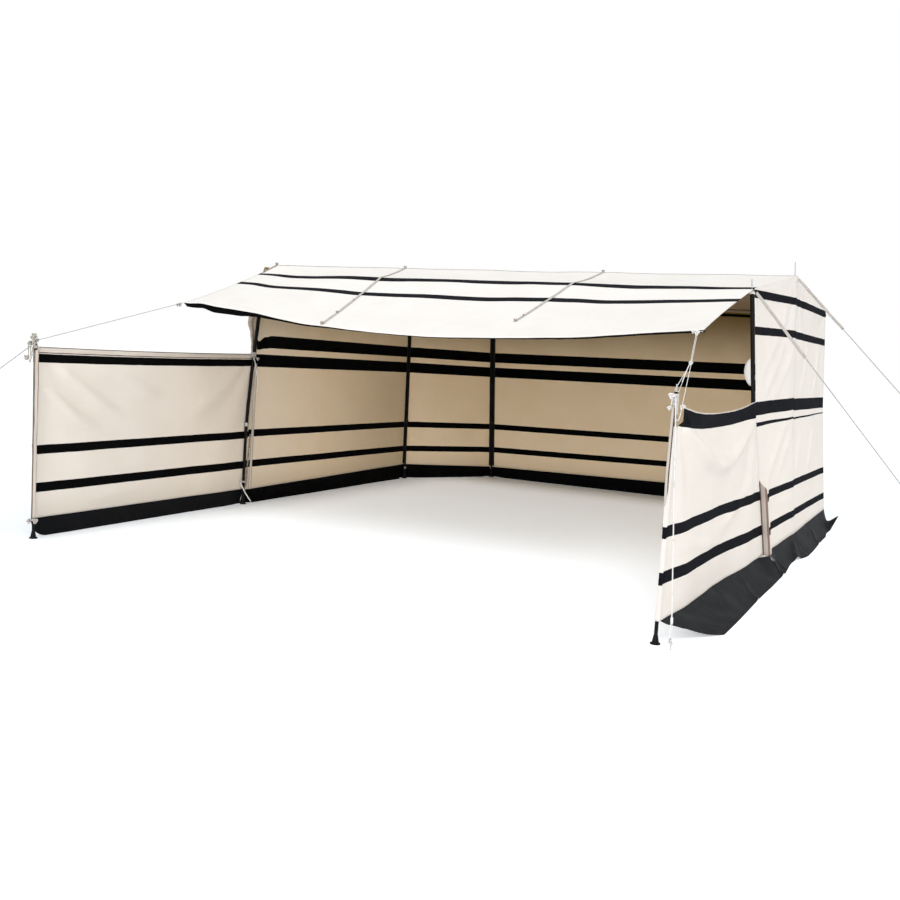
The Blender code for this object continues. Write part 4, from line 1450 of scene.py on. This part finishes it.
def bent_peg(name, toward):
    """A rod that stands on the ground and bends back over the rope."""
    place = Vector((*GUYS[name][1], 0.0))
    path = [place, place + UP * PEG_STRAIGHT]
    for step in range(1, 9):
        angle = math.pi * step / 8
        back = level(toward) * PEG_BEND[0] * (1.0 - math.cos(angle))
        path.append(place - back + UP * (PEG_STRAIGHT + PEG_BEND[1] * math.sin(angle)))
    path.append(path[-1] - UP * 0.010)
    put(joined(name + "_peg_rod", [tube_along(path, PEG_ROD, 12)], zinc), "peg", name + "_peg")


# %% Guys
for name in GUYS:
    start, end = guy_ends(name)
    straight = name == STRAIGHT_GUY
    if straight:
        start = STRAIGHT_GUY_START
    along = (end - start).normalized()
    across = along.cross(UP).normalized()
    top = start
    if name in GUY_STRAPS:
        top = start + along * (GUY_STRAPS[name] + 0.004)
    grip = start.lerp(end, STRAIGHT_RUNNER_SHARE if straight else RUNNER_SHARE)
    middle = Vector((end.x, end.y, ROUND_PEG_HEIGHT))
    waist = middle - level(along) * 0.010
    parts = laid_rope(top, grip, GUY_RADIUS)
    for leg in (1.0, -1.0):
        parts += laid_rope(grip + across * leg * LEG_OFFSETS[0], waist + across * leg * LEG_OFFSETS[1])
    bend = arc(middle, level(along), across, ROUND_PEG_RADIUS, -math.pi / 2, math.pi, 12)
    parts.append(tube_along(bend, ROPE_RADIUS, 7))
    parts.append(turned(RUNNER_PROFILE, grip, along, 14))
    put(joined(name + "_rope", parts, rope_white if straight else guy_line), "rope", name)
    bent_peg(name, along)
print("guys:", len(GUYS))

# %% [markdown]
# ## Ropes from the awning's corners
#
# A rope runs from each front corner of the awning to the top of a wing pole and pulls the awning
# tight. The right one is double at first and then splits: one leg goes to the pole's pin, one to the
# wing's own corner. Both are taut, so they are straight lines, with a knot wherever lines meet.

# %% The left awning rope
start = AWNING_LEFT + (left_wing_pole.top - AWNING_LEFT).normalized() * 0.012
end = left_wing_pole.top + Vector((0.008, 0.012, 0.026))
parts = laid_rope(start, end, 0.0026)
parts += knots(start, [((-0.012, -0.02, -0.014), 0.030, 0.0), ((-0.020, -0.045, -0.020), 0.022, 1.0)])
parts.append(trefoil(end, 0.022, 0.6))
put(joined("left_awning_rope_laid", parts, guy_line), "rope", "left_awning_rope")

# %% The right awning rope
RIGHT_EYELET = AWNING_RIGHT + Vector((-0.045, 0.0, -0.018))
SPLIT = Vector((4.572, -1.80, 1.593))
WING_CORNER = right_wing_pole.at(1.345) + Vector((0.030, 0.030, 0.0))
along = (right_wing_pole.top - RIGHT_EYELET).normalized()
start = RIGHT_EYELET + along * 0.012
end = right_wing_pole.top - along * (right_wing_pole.radius + 0.006) - UP * 0.012
across = (end - start).cross(UP).normalized()
# Each leg has its two ends and its radius
LEGS = [
    (start + across * 0.004, SPLIT + across * 0.003, 0.0022),
    (start - across * 0.004, SPLIT - across * 0.003, 0.0022),
    (SPLIT, end + Vector((-0.012, 0.0, 0.016)), 0.0022),
    (SPLIT + across * 0.005, end + Vector((0.006, 0.0, -0.010)), 0.0018),
    (SPLIT - across * 0.003, WING_CORNER, 0.0024),
    (start + UP * 0.004, AWNING_RIGHT + Vector((-0.004, -0.004, -0.010)), 0.0022),
]
parts = [strand for leg in LEGS for strand in laid_rope(*leg)]
parts.append(trefoil(SPLIT, 0.024, 0.4))
parts += knots(start, [((0.0, -0.006, 0.0), 0.034, 0.3), ((-0.028, 0.0, 0.006), 0.026, 1.4)])
put(joined("right_awning_rope_laid", parts, rope_white), "rope", "right_awning_rope")
print("legs of the right rope:", len(LEGS))

# %% [markdown]
# ## Hitches on the pole tops
#
# The spare rope is wound round each pole top and tied off, in a bunch that is untidy on the left
# wing's pole and neat on the right one's. Modelling the real knots turn by turn would take long and
# show little. Hitches, knots and slack loops of the rope's true thickness give the same bunch.

# %% The left wing pole's bunch
top = left_wing_pole.top + Vector((0.0, 0.0, 0.018))
BUNCH_KNOTS = [
    ((-0.004, -0.012, 0.042), 0.034, 0.5),
    ((-0.006, -0.012, 0.020), 0.044, 0.8),
    ((-0.026, -0.022, -0.020), 0.048, 1.7),
    ((0.004, -0.022, -0.006), 0.044, 2.4),
    ((-0.056, -0.030, -0.120), 0.036, 0.2),
]
# Each loop has the offsets of its two ends, its drop and its rope's radius
BUNCH_LOOPS = [
    ((-0.050, -0.022, -0.03), (-0.004, -0.026, -0.04), 0.12, 0.004),
    ((-0.036, -0.016, -0.03), (0.004, -0.030, -0.04), 0.095, 0.0035),
    ((0.010, -0.006, 0.01), (0.036, 0.026, -0.040), 0.030, 0.0035),
]
parts = [hitch(left_wing_pole, 1.335, 4.0), hitch(left_wing_pole, 1.395, 4.0, start=1.0)]
parts += knots(top, BUNCH_KNOTS)
parts += [hanging_loop(top + Vector(a), top + Vector(b), drop, radius) for a, b, drop, radius in BUNCH_LOOPS]
put(joined("left_wing_hitch", parts, rope_grey), "rope")

# %% The right wing pole's hitch
top = right_wing_pole.top
WING_LOOPS = [
    (top + Vector((-0.014, -0.02, -0.03)), top + Vector((-0.024, -0.02, -0.085)), 0.02, 0.0028),
    (WING_CORNER, WING_CORNER + Vector((0.004, -0.045, 0.014)), 0.020, 0.0025),
    (WING_CORNER + Vector((0.0, 0.0, -0.01)), top + Vector((0.020, -0.03, -0.150)), 0.030, 0.0025),
]
parts = [hitch(right_wing_pole, 1.305, 16.0, gap=0.0072, radius=0.0024)]
parts += knots(top, [((-0.020, -0.014, -0.021), 0.034, 0.3), ((-0.027, -0.018, -0.090), 0.026, 1.1)])
parts += knots(WING_CORNER, [((0.006, 0.012, 0.006), 0.024, 0.9)])
parts += [hanging_loop(*loop) for loop in WING_LOOPS]
put(joined("right_wing_hitch", parts, rope_white), "rope")

# %% The other pole tops
parts = []
for name, spin in (("right_front", 0.2), ("right_ridge", 1.0), ("rear_left", 0.4), ("rear_right", 1.3)):
    pole = POLES[name]
    parts.append(hitch(pole, pole.top.z - 0.030))
    parts.append(trefoil(pole.at(pole.top.z - 0.012) + Vector((0.0, -0.018, 0.0)), 0.026, spin))
put(joined("pole_top_hitches", parts, rope_white), "rope")

# %% Eyelets on the pins
RING_WIRE = 0.0022
SIDEWAYS, BACKWARDS = Vector((1.0, 0.0, 0.0)), Vector((0.0, 1.0, 0.0))
rings = [arc(pole.top + UP * 0.004, SIDEWAYS, BACKWARDS, 0.009) for pole in POLES.values()]
put(joined("pin_eyelets", [tube_along(ring, RING_WIRE) for ring in rings], zinc), "pole")
print("eyelets:", len(rings))

# %% [markdown]
# ## Webbing
#
# Straps and edge tapes are ribbons: a path, and at each point the direction of the ribbon's width.
# A flat curve with a bevel could do this too, but it turns where the curve turns. Here small turns
# of the width make it lie like webbing that has been tied and untied for years.

# %% The ribbon builder
WEBBING_THICKNESS = 0.0016
RIBBON_ROWS = 4


def ribbon(name, path, sides, widths, finish, *nodes):
    """widths is one number, or one for each point of the path."""
    if not isinstance(widths, list):
        widths = [widths] * len(path)
    walked = [0.0]
    for a, b in zip(path, path[1:]):
        walked.append(walked[-1] + (b - a).length)
    grid = []
    for row in range(RIBBON_ROWS + 1):
        part = row / RIBBON_ROWS
        line = []
        for point, side, width, far in zip(path, sides, widths, walked):
            line.append((point + side * (part - 0.5) * width, far, part * width))
        grid.append(line)
    widest = max(widths)
    flat = (widest, 1.02 * max(walked[-1], grid_area(grid) / widest))
    held = "laid" if "roof" in name else "hung"
    hang(name, grid, [finish], "webbing", flat, held, "roof_cloth", *nodes, thickness=WEBBING_THICKNESS)


# %% Roof straps
ROOF_STRAP_WIDTH = 0.024
STRAP_STEPS = 90
SLOPE_PART = 0.25           # of the strap's points lie on the front slope
# Each strap has its shares of the roof's width at the ridge, at the front poles and at its end, how far
# down the awning it reaches, and its knots: how far along the strap they are, and their size
ROOF_STRAPS = {
    "left_roof_strap": (
        (0.265, 0.282, 0.305), 0.97, [(0.0, 0.030), (0.62, 0.020), (0.82, 0.022), (1.0, 0.034)],
    ),
    "right_roof_strap": ((0.648, 0.677, 0.649), 0.70, [(0.0, 0.026), (0.90, 0.022), (1.0, 0.030)]),
}
for name, ((ridge_share, line_share, end_share), reach, strap_knots) in ROOF_STRAPS.items():
    path, sides = [], []
    for step in range(STRAP_STEPS + 1):
        part = step / STRAP_STEPS
        if part < SLOPE_PART:
            share = between(ridge_share, line_share, part / SLOPE_PART)
            depth = 2.0 - part / SLOPE_PART
        else:
            on_awning = (part - SLOPE_PART) / (1.0 - SLOPE_PART)
            share = between(line_share, end_share, on_awning)
            depth = 1.0 - on_awning * reach
        share += 0.0012 * noise.noise(Vector((part * 9.0, ridge_share * 50.0, 1.0)))
        lift = 0.0045 + 0.002 * abs(noise.noise(Vector((part * 14.0, ridge_share * 30.0, 5.0))))
        tilt = 0.16 * noise.noise(Vector((part * 17.0, ridge_share * 20.0, 9.0)))
        path.append(roof_place(share, depth, lift))
        sides.append(Vector((1.0, 0.05, tilt)).normalized())
    ribbon(name + "_tape", path, sides, ROOF_STRAP_WIDTH, webbing, name)
    parts = []
    for part, size in strap_knots:
        parts.append(trefoil(path[round(part * STRAP_STEPS)] + UP * 0.006, size, part * 9.0))
    put(joined(name + "_tape_knots", parts, stained_webbing), "webbing")

# %% The tape at the roof's left tip
TIP_STEPS = 24
path = [roof_place(0.004, 2.0 - 0.9 * step / TIP_STEPS, 0.004) for step in range(TIP_STEPS + 1)]
sides = [Vector((1.0, 0.0, 0.1 * math.sin(step * 0.7))).normalized() for step in range(TIP_STEPS + 1)]
ribbon("roof_tip_tape", path, sides, 0.020, stained_webbing)
parts = [trefoil(path[0] + UP * 0.008, 0.030, 0.5)]
parts.append(trefoil(left_front_pole.top + Vector((0.010, -0.010, 0.0)), 0.024, 1.2))
put(joined("roof_tip_knot", parts, stained_webbing), "webbing")

# %% Guy straps
GUY_STRAP_WIDTH = 0.023
GUY_RING_RADIUS = 0.012
for name, length in GUY_STRAPS.items():
    x, y = GUYS[name][1]
    start, end = guy_ends(name)
    along = (end - start).normalized()
    across = along.cross(UP).normalized()
    up = across.cross(along)
    path, sides = [], []
    for step in range(41):
        part = step / 40
        turn = 1.35 + 0.35 * noise.noise(Vector((part * 4.0, x, 2.0)))
        path.append(start + along * length * part + up * 0.003 * noise.noise(Vector((part * 6.0, 3.0, y))))
        sides.append((across * math.cos(turn) + up * math.sin(turn)).normalized())
    ribbon(name + "_strap_tape", path, sides, GUY_STRAP_WIDTH, webbing, name + "_strap")
    ring = arc(start + along * (length + 0.002), across, along, GUY_RING_RADIUS)
    put(joined(name + "_ring", [tube_along(ring, RING_WIRE)], zinc), "webbing")

# %% [markdown]
# ## Edge tapes of the openings
#
# The wall and the wing part beside a pole, and a tape with brown edges runs up each raw edge, for
# the zip that joins them. Its brown lines are dyed bands again, which the tape's own metres place.

# %% Finishes of the tapes
TAPE_BROWN = (0.17, 0.13, 0.11)


def edged_finish(name, width, edge, pale, brown):
    """Pale tape with a brown line along each edge."""
    yarn = (pale, tuple(c * 0.86 for c in pale), tuple(c * 0.5 for c in pale))
    return canvas_finish(name, yarn, brown, [(-0.01, edge), (width - edge, width + 0.01)])


EDGE_YARN = ((0.70, 0.63, 0.57), (0.60, 0.53, 0.47), HEM_LIGHT)
pale_tape = canvas_finish("edge_tape", EDGE_YARN, TAPE_BROWN, [(-0.01, 0.010), (0.030, 0.05)])
zip_tape = edged_finish("zip_tape", 0.055, 0.010, (0.68, 0.60, 0.54), (0.24, 0.17, 0.14))
sleeve_tape = edged_finish("sleeve_tape", 0.026, 0.003, (0.72, 0.65, 0.59), (0.24, 0.18, 0.15))
ZIP_YARN = ((0.68, 0.62, 0.57), (0.58, 0.51, 0.46), HEM_LIGHT)
wing_zip = canvas_finish("wing_zip_tape", ZIP_YARN, HEM_BROWN, [(0.0140, 0.0300)])

# %% Tapes along a pole
TAPE_STEPS = 70


def edge_tape(name, pole, heights, middles, across, widths, finish, *nodes, twist=0.25, seed=0.0):
    """A tape that stands along a pole. middles are the level steps from the pole to its centre, low down and
    at its top, across is the level direction of its width, and widths are its widths at the two ends."""
    across = Vector((*across, 0.0)).normalized()
    front = across.cross(UP)
    low_middle, top_middle = Vector((*middles[0], 0.0)), Vector((*middles[1], 0.0))
    path, sides, sizes = [], [], []
    for step in range(TAPE_STEPS + 1):
        share = step / TAPE_STEPS
        height = between(*heights, share)
        turn = twist * noise.noise(Vector((height * 3.0, seed, 7.0)))
        wander = 0.003 * noise.noise(Vector((height * 5.0, seed, 3.0)))
        narrowed = 0.12 * abs(noise.noise(Vector((height * 4.0, seed, 11.0))))
        path.append(pole.at(height) + low_middle.lerp(top_middle, share) + across * wander)
        sides.append((across * math.cos(turn) + front * math.sin(turn)).normalized())
        sizes.append(between(*widths, share) * (1.0 - narrowed))
    ribbon(name, path, sides, sizes, finish, *nodes)


edge_tape(
    "left_wing_edge_tape", left_wing_pole, (0.15, 1.385), ((0.012, -0.0165), (0.0205, -0.008)),
    (0.71, 0.70), (0.030, 0.036), pale_tape, "left_wing_edge_strip", seed=1.0,
)
edge_tape(
    "left_front_edge_tape", left_front_pole, (0.14, 1.32), ((0.025, 0.050), (0.019, -0.036)),
    (0.45, 0.89), (0.026, 0.026), sleeve_tape, "left_front_edge_strip", twist=0.12, seed=4.0,
)
edge_tape(
    "left_front_inner_tape", left_front_pole, (0.16, 0.66), ((0.002, 0.012), (0.002, 0.006)),
    (0.3, 0.95), (0.018, 0.014), stained_webbing, seed=6.0,
)

# %% [markdown]
# ## Black strips and the ridge seam
#
# Inside each rear corner a black strip stands behind the pole and widens the pole's dark line, and
# along the ridge a narrow stitched seam joins the roof's two slopes. Both could be lines in the canvas
# finish, but they stand a little proud of it and catch the light, so they are thin sheets.

# %% Black tape behind the rear poles
SEAM_TAPE_REACH = 0.030
SEAM_TAPE_IN = 0.0024
SEAM_TAPE_THICKNESS = 0.0012
SEAM_TOP = 2.14
# Each tape has the walls before and after its corner, and its lower end
SEAM_TAPES = {
    "left_rear_seam_tape": (left_wall, rear_left_wall, 0.18),
    "rear_left_seam_tape": (rear_left_wall, rear_wall, 0.14),
    "rear_right_seam_tape": (rear_wall, rear_right_wall, 0.20),
    "right_rear_seam_tape": (rear_right_wall, right_rear_wall, 0.21),
}
for name, (before, after, low) in SEAM_TAPES.items():
    columns = []
    for wall, end in ((before, 1.0), (after, 0.0)):
        found = [(wall, share, facing) for share, facing in wall.columns(240)]
        near = [column for column in found if abs(column[1] - end) * wall.width < SEAM_TAPE_REACH]
        columns += near if end else near[1:]
    grid = []
    for row in range(61):
        height = between(low, SEAM_TOP, row / 60)
        line, walked = [], 0.0
        for wall, share, facing in columns:
            point = wall.place(share, height, -SEAM_TAPE_IN, facing)
            if line:
                walked += (point - line[-1][0]).length
            line.append((point, walked, height))
        grid.append(line)
    length = SEAM_TOP - low
    flat = (1.01 * grid_area(grid) / length, length)
    rests_on = before.name + "_canvas"
    hang(name, grid, [black_tape], "webbing", flat, "hung", rests_on, thickness=SEAM_TAPE_THICKNESS)

# %% The seam along the ridge
SEAM_STEPS = 120
path = [roof_place(step / SEAM_STEPS, 2.0, 0.0022) for step in range(SEAM_STEPS + 1)]
ribbon("roof_ridge_seam", path, [BACKWARDS] * (SEAM_STEPS + 1), 0.014, seam_thread)

# %% [markdown]
# ## The right wing's front edge
#
# The wing's canvas wraps round its pole and shows as a narrow fold in front of it, with the zip tape
# sewn on above. The wing's own sheet stops at the pole, and the fold is a short sheet that goes on
# from its last column, so the turn round the pole is placed on its own.

# %% The right wing's folded edge
WING_FOLD_FLAT = (0.09, 1.20)
WING_FOLD_HEIGHTS = (0.137, 1.240)
TURN_PART = 0.4             # of the fold lies beside the pole, and the rest in front of it
# Heights, and how far the edge stands past the middle of the pole there
FOLD_EDGE = [
    (0.13, 0.007), (0.39, 0.006), (0.60, 0.007), (0.78, 0.010), (0.97, 0.0135), (1.17, 0.012), (1.32, 0.011),
]


def wing_fold_cell(row_share, part):
    height = between(*WING_FOLD_HEIGHTS, row_share)
    corner = right_wing_pole.at(height) + Vector((0.0185, -0.0215, 0.0))
    end = right_wing_pole.at(height) + Vector((-along_table(FOLD_EDGE, height), -0.0195, 0.0))
    if part < TURN_PART:
        point = right_wing.place(1.0, height).lerp(corner, part / TURN_PART)
    else:
        point = corner.lerp(end, (part - TURN_PART) / (1.0 - TURN_PART))
    point.y -= 0.0015 * noise.noise(Vector((height * 5.0, part * 2.0, 60.0)))
    up = min(right_wing.drawn_height(1.0, height) + 0.010 * smooth(part, 0.3, 0.5), 1.29)
    return point, right_wing.width + part * 0.05, up


grid = cells(60, 10, wing_fold_cell)
hang("right_wing_folded_edge", grid, right_wing_canvas, "canvas", WING_FOLD_FLAT, "hung", "right_wing_canvas")

# %% The right wing's zip tape
ZIP_TAPE_WIDTH = 0.020
ZIP_HEIGHTS = (0.79, 1.345)
path, sides, sizes = [], [], []
for step in range(51):
    share = step / 50
    height = between(*ZIP_HEIGHTS, share)
    size = ZIP_TAPE_WIDTH * smooth(share, -0.12, 0.22)
    edge = along_table(FOLD_EDGE, height) + 0.0015
    path.append(right_wing_pole.at(height) + Vector((size / 2 - edge, -0.0235, 0.0)))
    sides.append(Vector((1.0, 0.08 * math.sin(height * 7.0), 0.0)).normalized())
    sizes.append(size)
ribbon("right_wing_zip_tape", path, sides, sizes, wing_zip)

# %% The zip flap at the right front pole
FLAP_HEIGHTS = (0.150, 0.712)
flap_path, sides, sizes = [], [], []
for step in range(61):
    height = between(*FLAP_HEIGHTS, step / 60)
    inner = right_wing.place(0.0, height, 0.002)
    outer = right_front_wall.place(1.0, height, 0.002)
    across = outer - inner
    flap_path.append(inner.lerp(outer, 0.5) + Vector((0.0, -0.006, 0.0)))
    sides.append(Vector((across.x, across.y - 0.012, 0.0)).normalized())
    sizes.append(max(0.012, across.length + 0.006))
ribbon("zip_flap", flap_path, sides, sizes, zip_tape, "right_front_edge_strip")

# %% The flap's frayed end
THREADS = 7
parts = []
for thread in range(THREADS):
    start = flap_path[0] + Vector((0.012 * (thread - 3) / 3.0, -0.002, 0.0))
    end = start + Vector((0.030 + 0.004 * thread, -0.004, -0.030 - 0.004 * (thread % 3)))
    parts.append(tube_along([start, start.lerp(end, 0.5) + UP * 0.006, end], 0.0013, 5))
put(joined("zip_flap_frayed_end", parts, webbing), "webbing")
print("threads:", THREADS)

# %% [markdown]
# ## Loose canvas at the front poles
#
# The left wall's canvas runs past the front pole above the wing and hangs there in folds. At the
# right front pole a little of the wall's edge bulges into the shelter. Both are short sheets.

# %% Folded edge at the left front pole
FOLDED_FLAT = (0.24, 0.62)
FOLDED_HEIGHTS = (1.415, 2.02)
# The folded edge has a darker, browner copy of the canvas, as painted shade
FOLDED_YARN = ((0.62, 0.54, 0.45), (0.40, 0.33, 0.26), HEM_LIGHT)
FOLDED_REACH = [(0.0, 0.050), (0.12, 0.070), (0.30, 0.095), (0.46, 0.140), (0.62, 0.125), (1.0, 0.105)]
folded_canvas = canvas_finish("folded_canvas", FOLDED_YARN, HEM_BROWN, [])


def folded_cell(part, share):
    height = between(*FOLDED_HEIGHTS, part)
    pleat = 0.016 * math.sin(share * 15.0 + part * 2.5) * smooth(share, 0.0, 0.2)
    step = Vector((-0.0235 + pleat - 0.020 * share, 0.010 - along_table(FOLDED_REACH, part) * share, 0.0))
    return left_front_pole.at(height) + step, share * 0.16, height


grid = cells(40, 24, folded_cell)
hang("left_front_folded_edge", grid, [folded_canvas], "canvas", FOLDED_FLAT, "hung", "left_wall_canvas")

# %% Bulge at the right front pole
BULGE_FLAT = (0.165, 0.225)
BULGE_HEIGHTS = (1.437, 1.650)
BULGE_REACH = 0.058


def bulge_cell(part, share):
    height = between(*BULGE_HEIGHTS, part)
    reach = BULGE_REACH * math.sqrt(max(math.sin(math.pi * part), 0.0))
    angle = math.pi * share
    step = Vector((-0.012 - reach * math.sin(angle), 0.020 - 0.022 * math.cos(angle), 0.0))
    return right_front_pole.at(height) + step, share * 0.12, height


grid = cells(24, 12, bulge_cell)
hang("right_front_bulge", grid, [plain_canvas], "canvas", BULGE_FLAT, "hung", "right_front_wall_canvas")

# %% [markdown]
# ## Ties and their tails
#
# Tapes sewn to the canvas are tied round the poles, near the ground and above the wing, and two of
# their ends are left loose. A third loose end hangs where the awning's right rope splits. A loose
# end is made as a slack line with a small bow.

# %% Ties round the poles
# Each tie has its pole, its height, its offset from the pole, its size and its spin
TIES = [
    ("left_front", 1.405, (0.010, -0.024, 0.0), 0.046, 0.4),
    ("left_front", 1.365, (0.040, 0.012, 0.0), 0.028, 1.2),
    ("left_front", 1.370, (0.018, -0.020, 0.0), 0.030, 2.2),
    ("left_front", 0.212, (-0.006, -0.026, 0.0), 0.030, 0.1),
    ("left_wing", 0.134, (0.034, -0.018, 0.0), 0.036, 0.7),
    ("left_wing", 0.128, (-0.022, -0.024, 0.0), 0.038, 1.9),
    ("left_rear", 0.128, (0.020, -0.028, 0.0), 0.026, 0.7),
    ("rear_left", 0.120, (0.0, -0.026, 0.0), 0.020, 1.9),
]
parts = [
    hitch(left_front_pole, 1.385, radius=0.004),
    hitch(left_front_pole, 0.205, 2.0, gap=0.007, radius=0.0038),
    hitch(left_wing_pole, 0.128, 2.0, gap=0.007, radius=0.004),
]
for name, height, offset, size, spin in TIES:
    parts.append(trefoil(POLES[name].bowed(height) + Vector(offset), size, spin))
put(joined("pole_ties", parts, webbing), "webbing")
print("ties:", len(TIES))


# %% Loose tails
def tail(name, start, end, bow, radius):
    """A loose end that hangs from a tie. bow is how far the slack takes its middle off the line."""
    points = []
    for step in range(17):
        share = step / 16
        points.append(start.lerp(end, share) + Vector(bow) * math.sin(math.pi * share))
    path = even_path(points, 0.004)
    piece = put(joined(name, [tube_along(path, radius)], rope_white), "rope")


tie = left_front_pole.bowed(0.205) + Vector((-0.004, -0.034, 0.0))
tail("low_tie_tail", tie, tie + Vector((0.112, 0.020, -0.165)), (0.0, -0.006, -0.006), 0.0055)
tie = left_front_pole.bowed(1.365) + Vector((0.026, -0.018, -0.012))
tail("high_tie_tail", tie, tie + Vector((0.026, 0.030, -0.300)), (0.016, -0.004, 0.0), 0.0035)
tie = SPLIT + Vector((0.004, -0.004, 0.022))
tail("split_tail", tie, SPLIT + Vector((-0.050, 0.02, -0.120)), (-0.004, 0.0, -0.002), 0.0018)

# %% [markdown]
# ## Floor and light
#
# The photograph is a cut-out on white with soft daylight from the front and the right. A pale floor
# catches the soft shadows, a white sky fills them, and two wide suns give the cloth its shape. Out
# in the open the floor glows a little, so that it stays as white as the sky. Under the roof it
# doesn't, which keeps the shade there.

# %% Floor
FLOOR_GLOW = 0.37
REAR_SHADE, REAR_OPEN = 4.45, 3.10
SIDE_SHADE, SIDE_OPEN = -0.40, 0.70
FLOOR_SIZE = 120.0
FLOOR_COLOURS = ((0.80, 0.84, 0.88), (0.82, 0.86, 0.89))
recipe = Recipe("pale_floor", roughness=0.9)
place = recipe.step("ShaderNodeNewGeometry")
recipe.feed(recipe.shader.inputs["Base Color"], recipe.blend(recipe.noise(place, 1.5, 6.0), *FLOOR_COLOURS))
open_behind = recipe.ramp(recipe.axis(place, 1), REAR_SHADE, REAR_OPEN)
open_beside = recipe.ramp(recipe.axis(place, 0), SIDE_SHADE, SIDE_OPEN)
glow = recipe.math("MULTIPLY", recipe.math("MULTIPLY", open_behind, open_beside), FLOOR_GLOW)
recipe.feed(recipe.shader.inputs["Emission Color"], (1.0, 1.0, 1.0))
recipe.feed(recipe.shader.inputs["Emission Strength"], glow)
half = FLOOR_SIZE / 2
corners = [Vector((x, y, 0.0)) for x, y in ((-half, -half), (half, -half), (half, half), (-half, half))]
floor = mesh_piece("floor", corners, [(0, 1, 2, 3)], [(0, 0), (1, 0), (1, 1), (0, 1)], [recipe.material])
floor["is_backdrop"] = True

# %% Light
SKY = 1.0
SUN = 0.85
FRONT_FILL = 1.2
sky = bpy.data.worlds.new("sky")
bpy.context.scene.world = sky
sky.use_nodes = True
sky.node_tree.nodes["Background"].inputs["Color"].default_value = (1.0, 1.0, 1.0, 1.0)
sky.node_tree.nodes["Background"].inputs["Strength"].default_value = SKY


def wide_sun(name, energy, degrees, shines_from):
    lamp = bpy.data.objects.new(name, bpy.data.lights.new(name, "SUN"))
    lamp.data.energy = energy
    lamp.data.angle = math.radians(degrees)
    lamp.rotation_euler = Vector(shines_from).to_track_quat("Z", "Y").to_euler()
    bpy.context.scene.collection.objects.link(lamp)


wide_sun("daylight", SUN, 35.0, (0.55, -0.75, 1.25))
wide_sun("front_fill", FRONT_FILL, 25.0, (0.20, -1.0, 0.30))
bpy.context.scene.view_settings.view_transform = "Standard"
print("sky", SKY, "sun", SUN)

# %% [markdown]
# ## The size
#
# The dressed canopy has to stay as large as the CAD model, give or take the little that cloth may
# stand proud. So the script measures both boxes, keeps them in a table, and prints the size of the
# dressed one.

# %% Size
visual_low, visual_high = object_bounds()
sizes = {
    "cad": [list(cad_low), list(cad_high)],
    "visual": [list(visual_low), list(visual_high)],
}
print("visual box, metres:", [round(b - a, 3) for a, b in zip(visual_low, visual_high)])
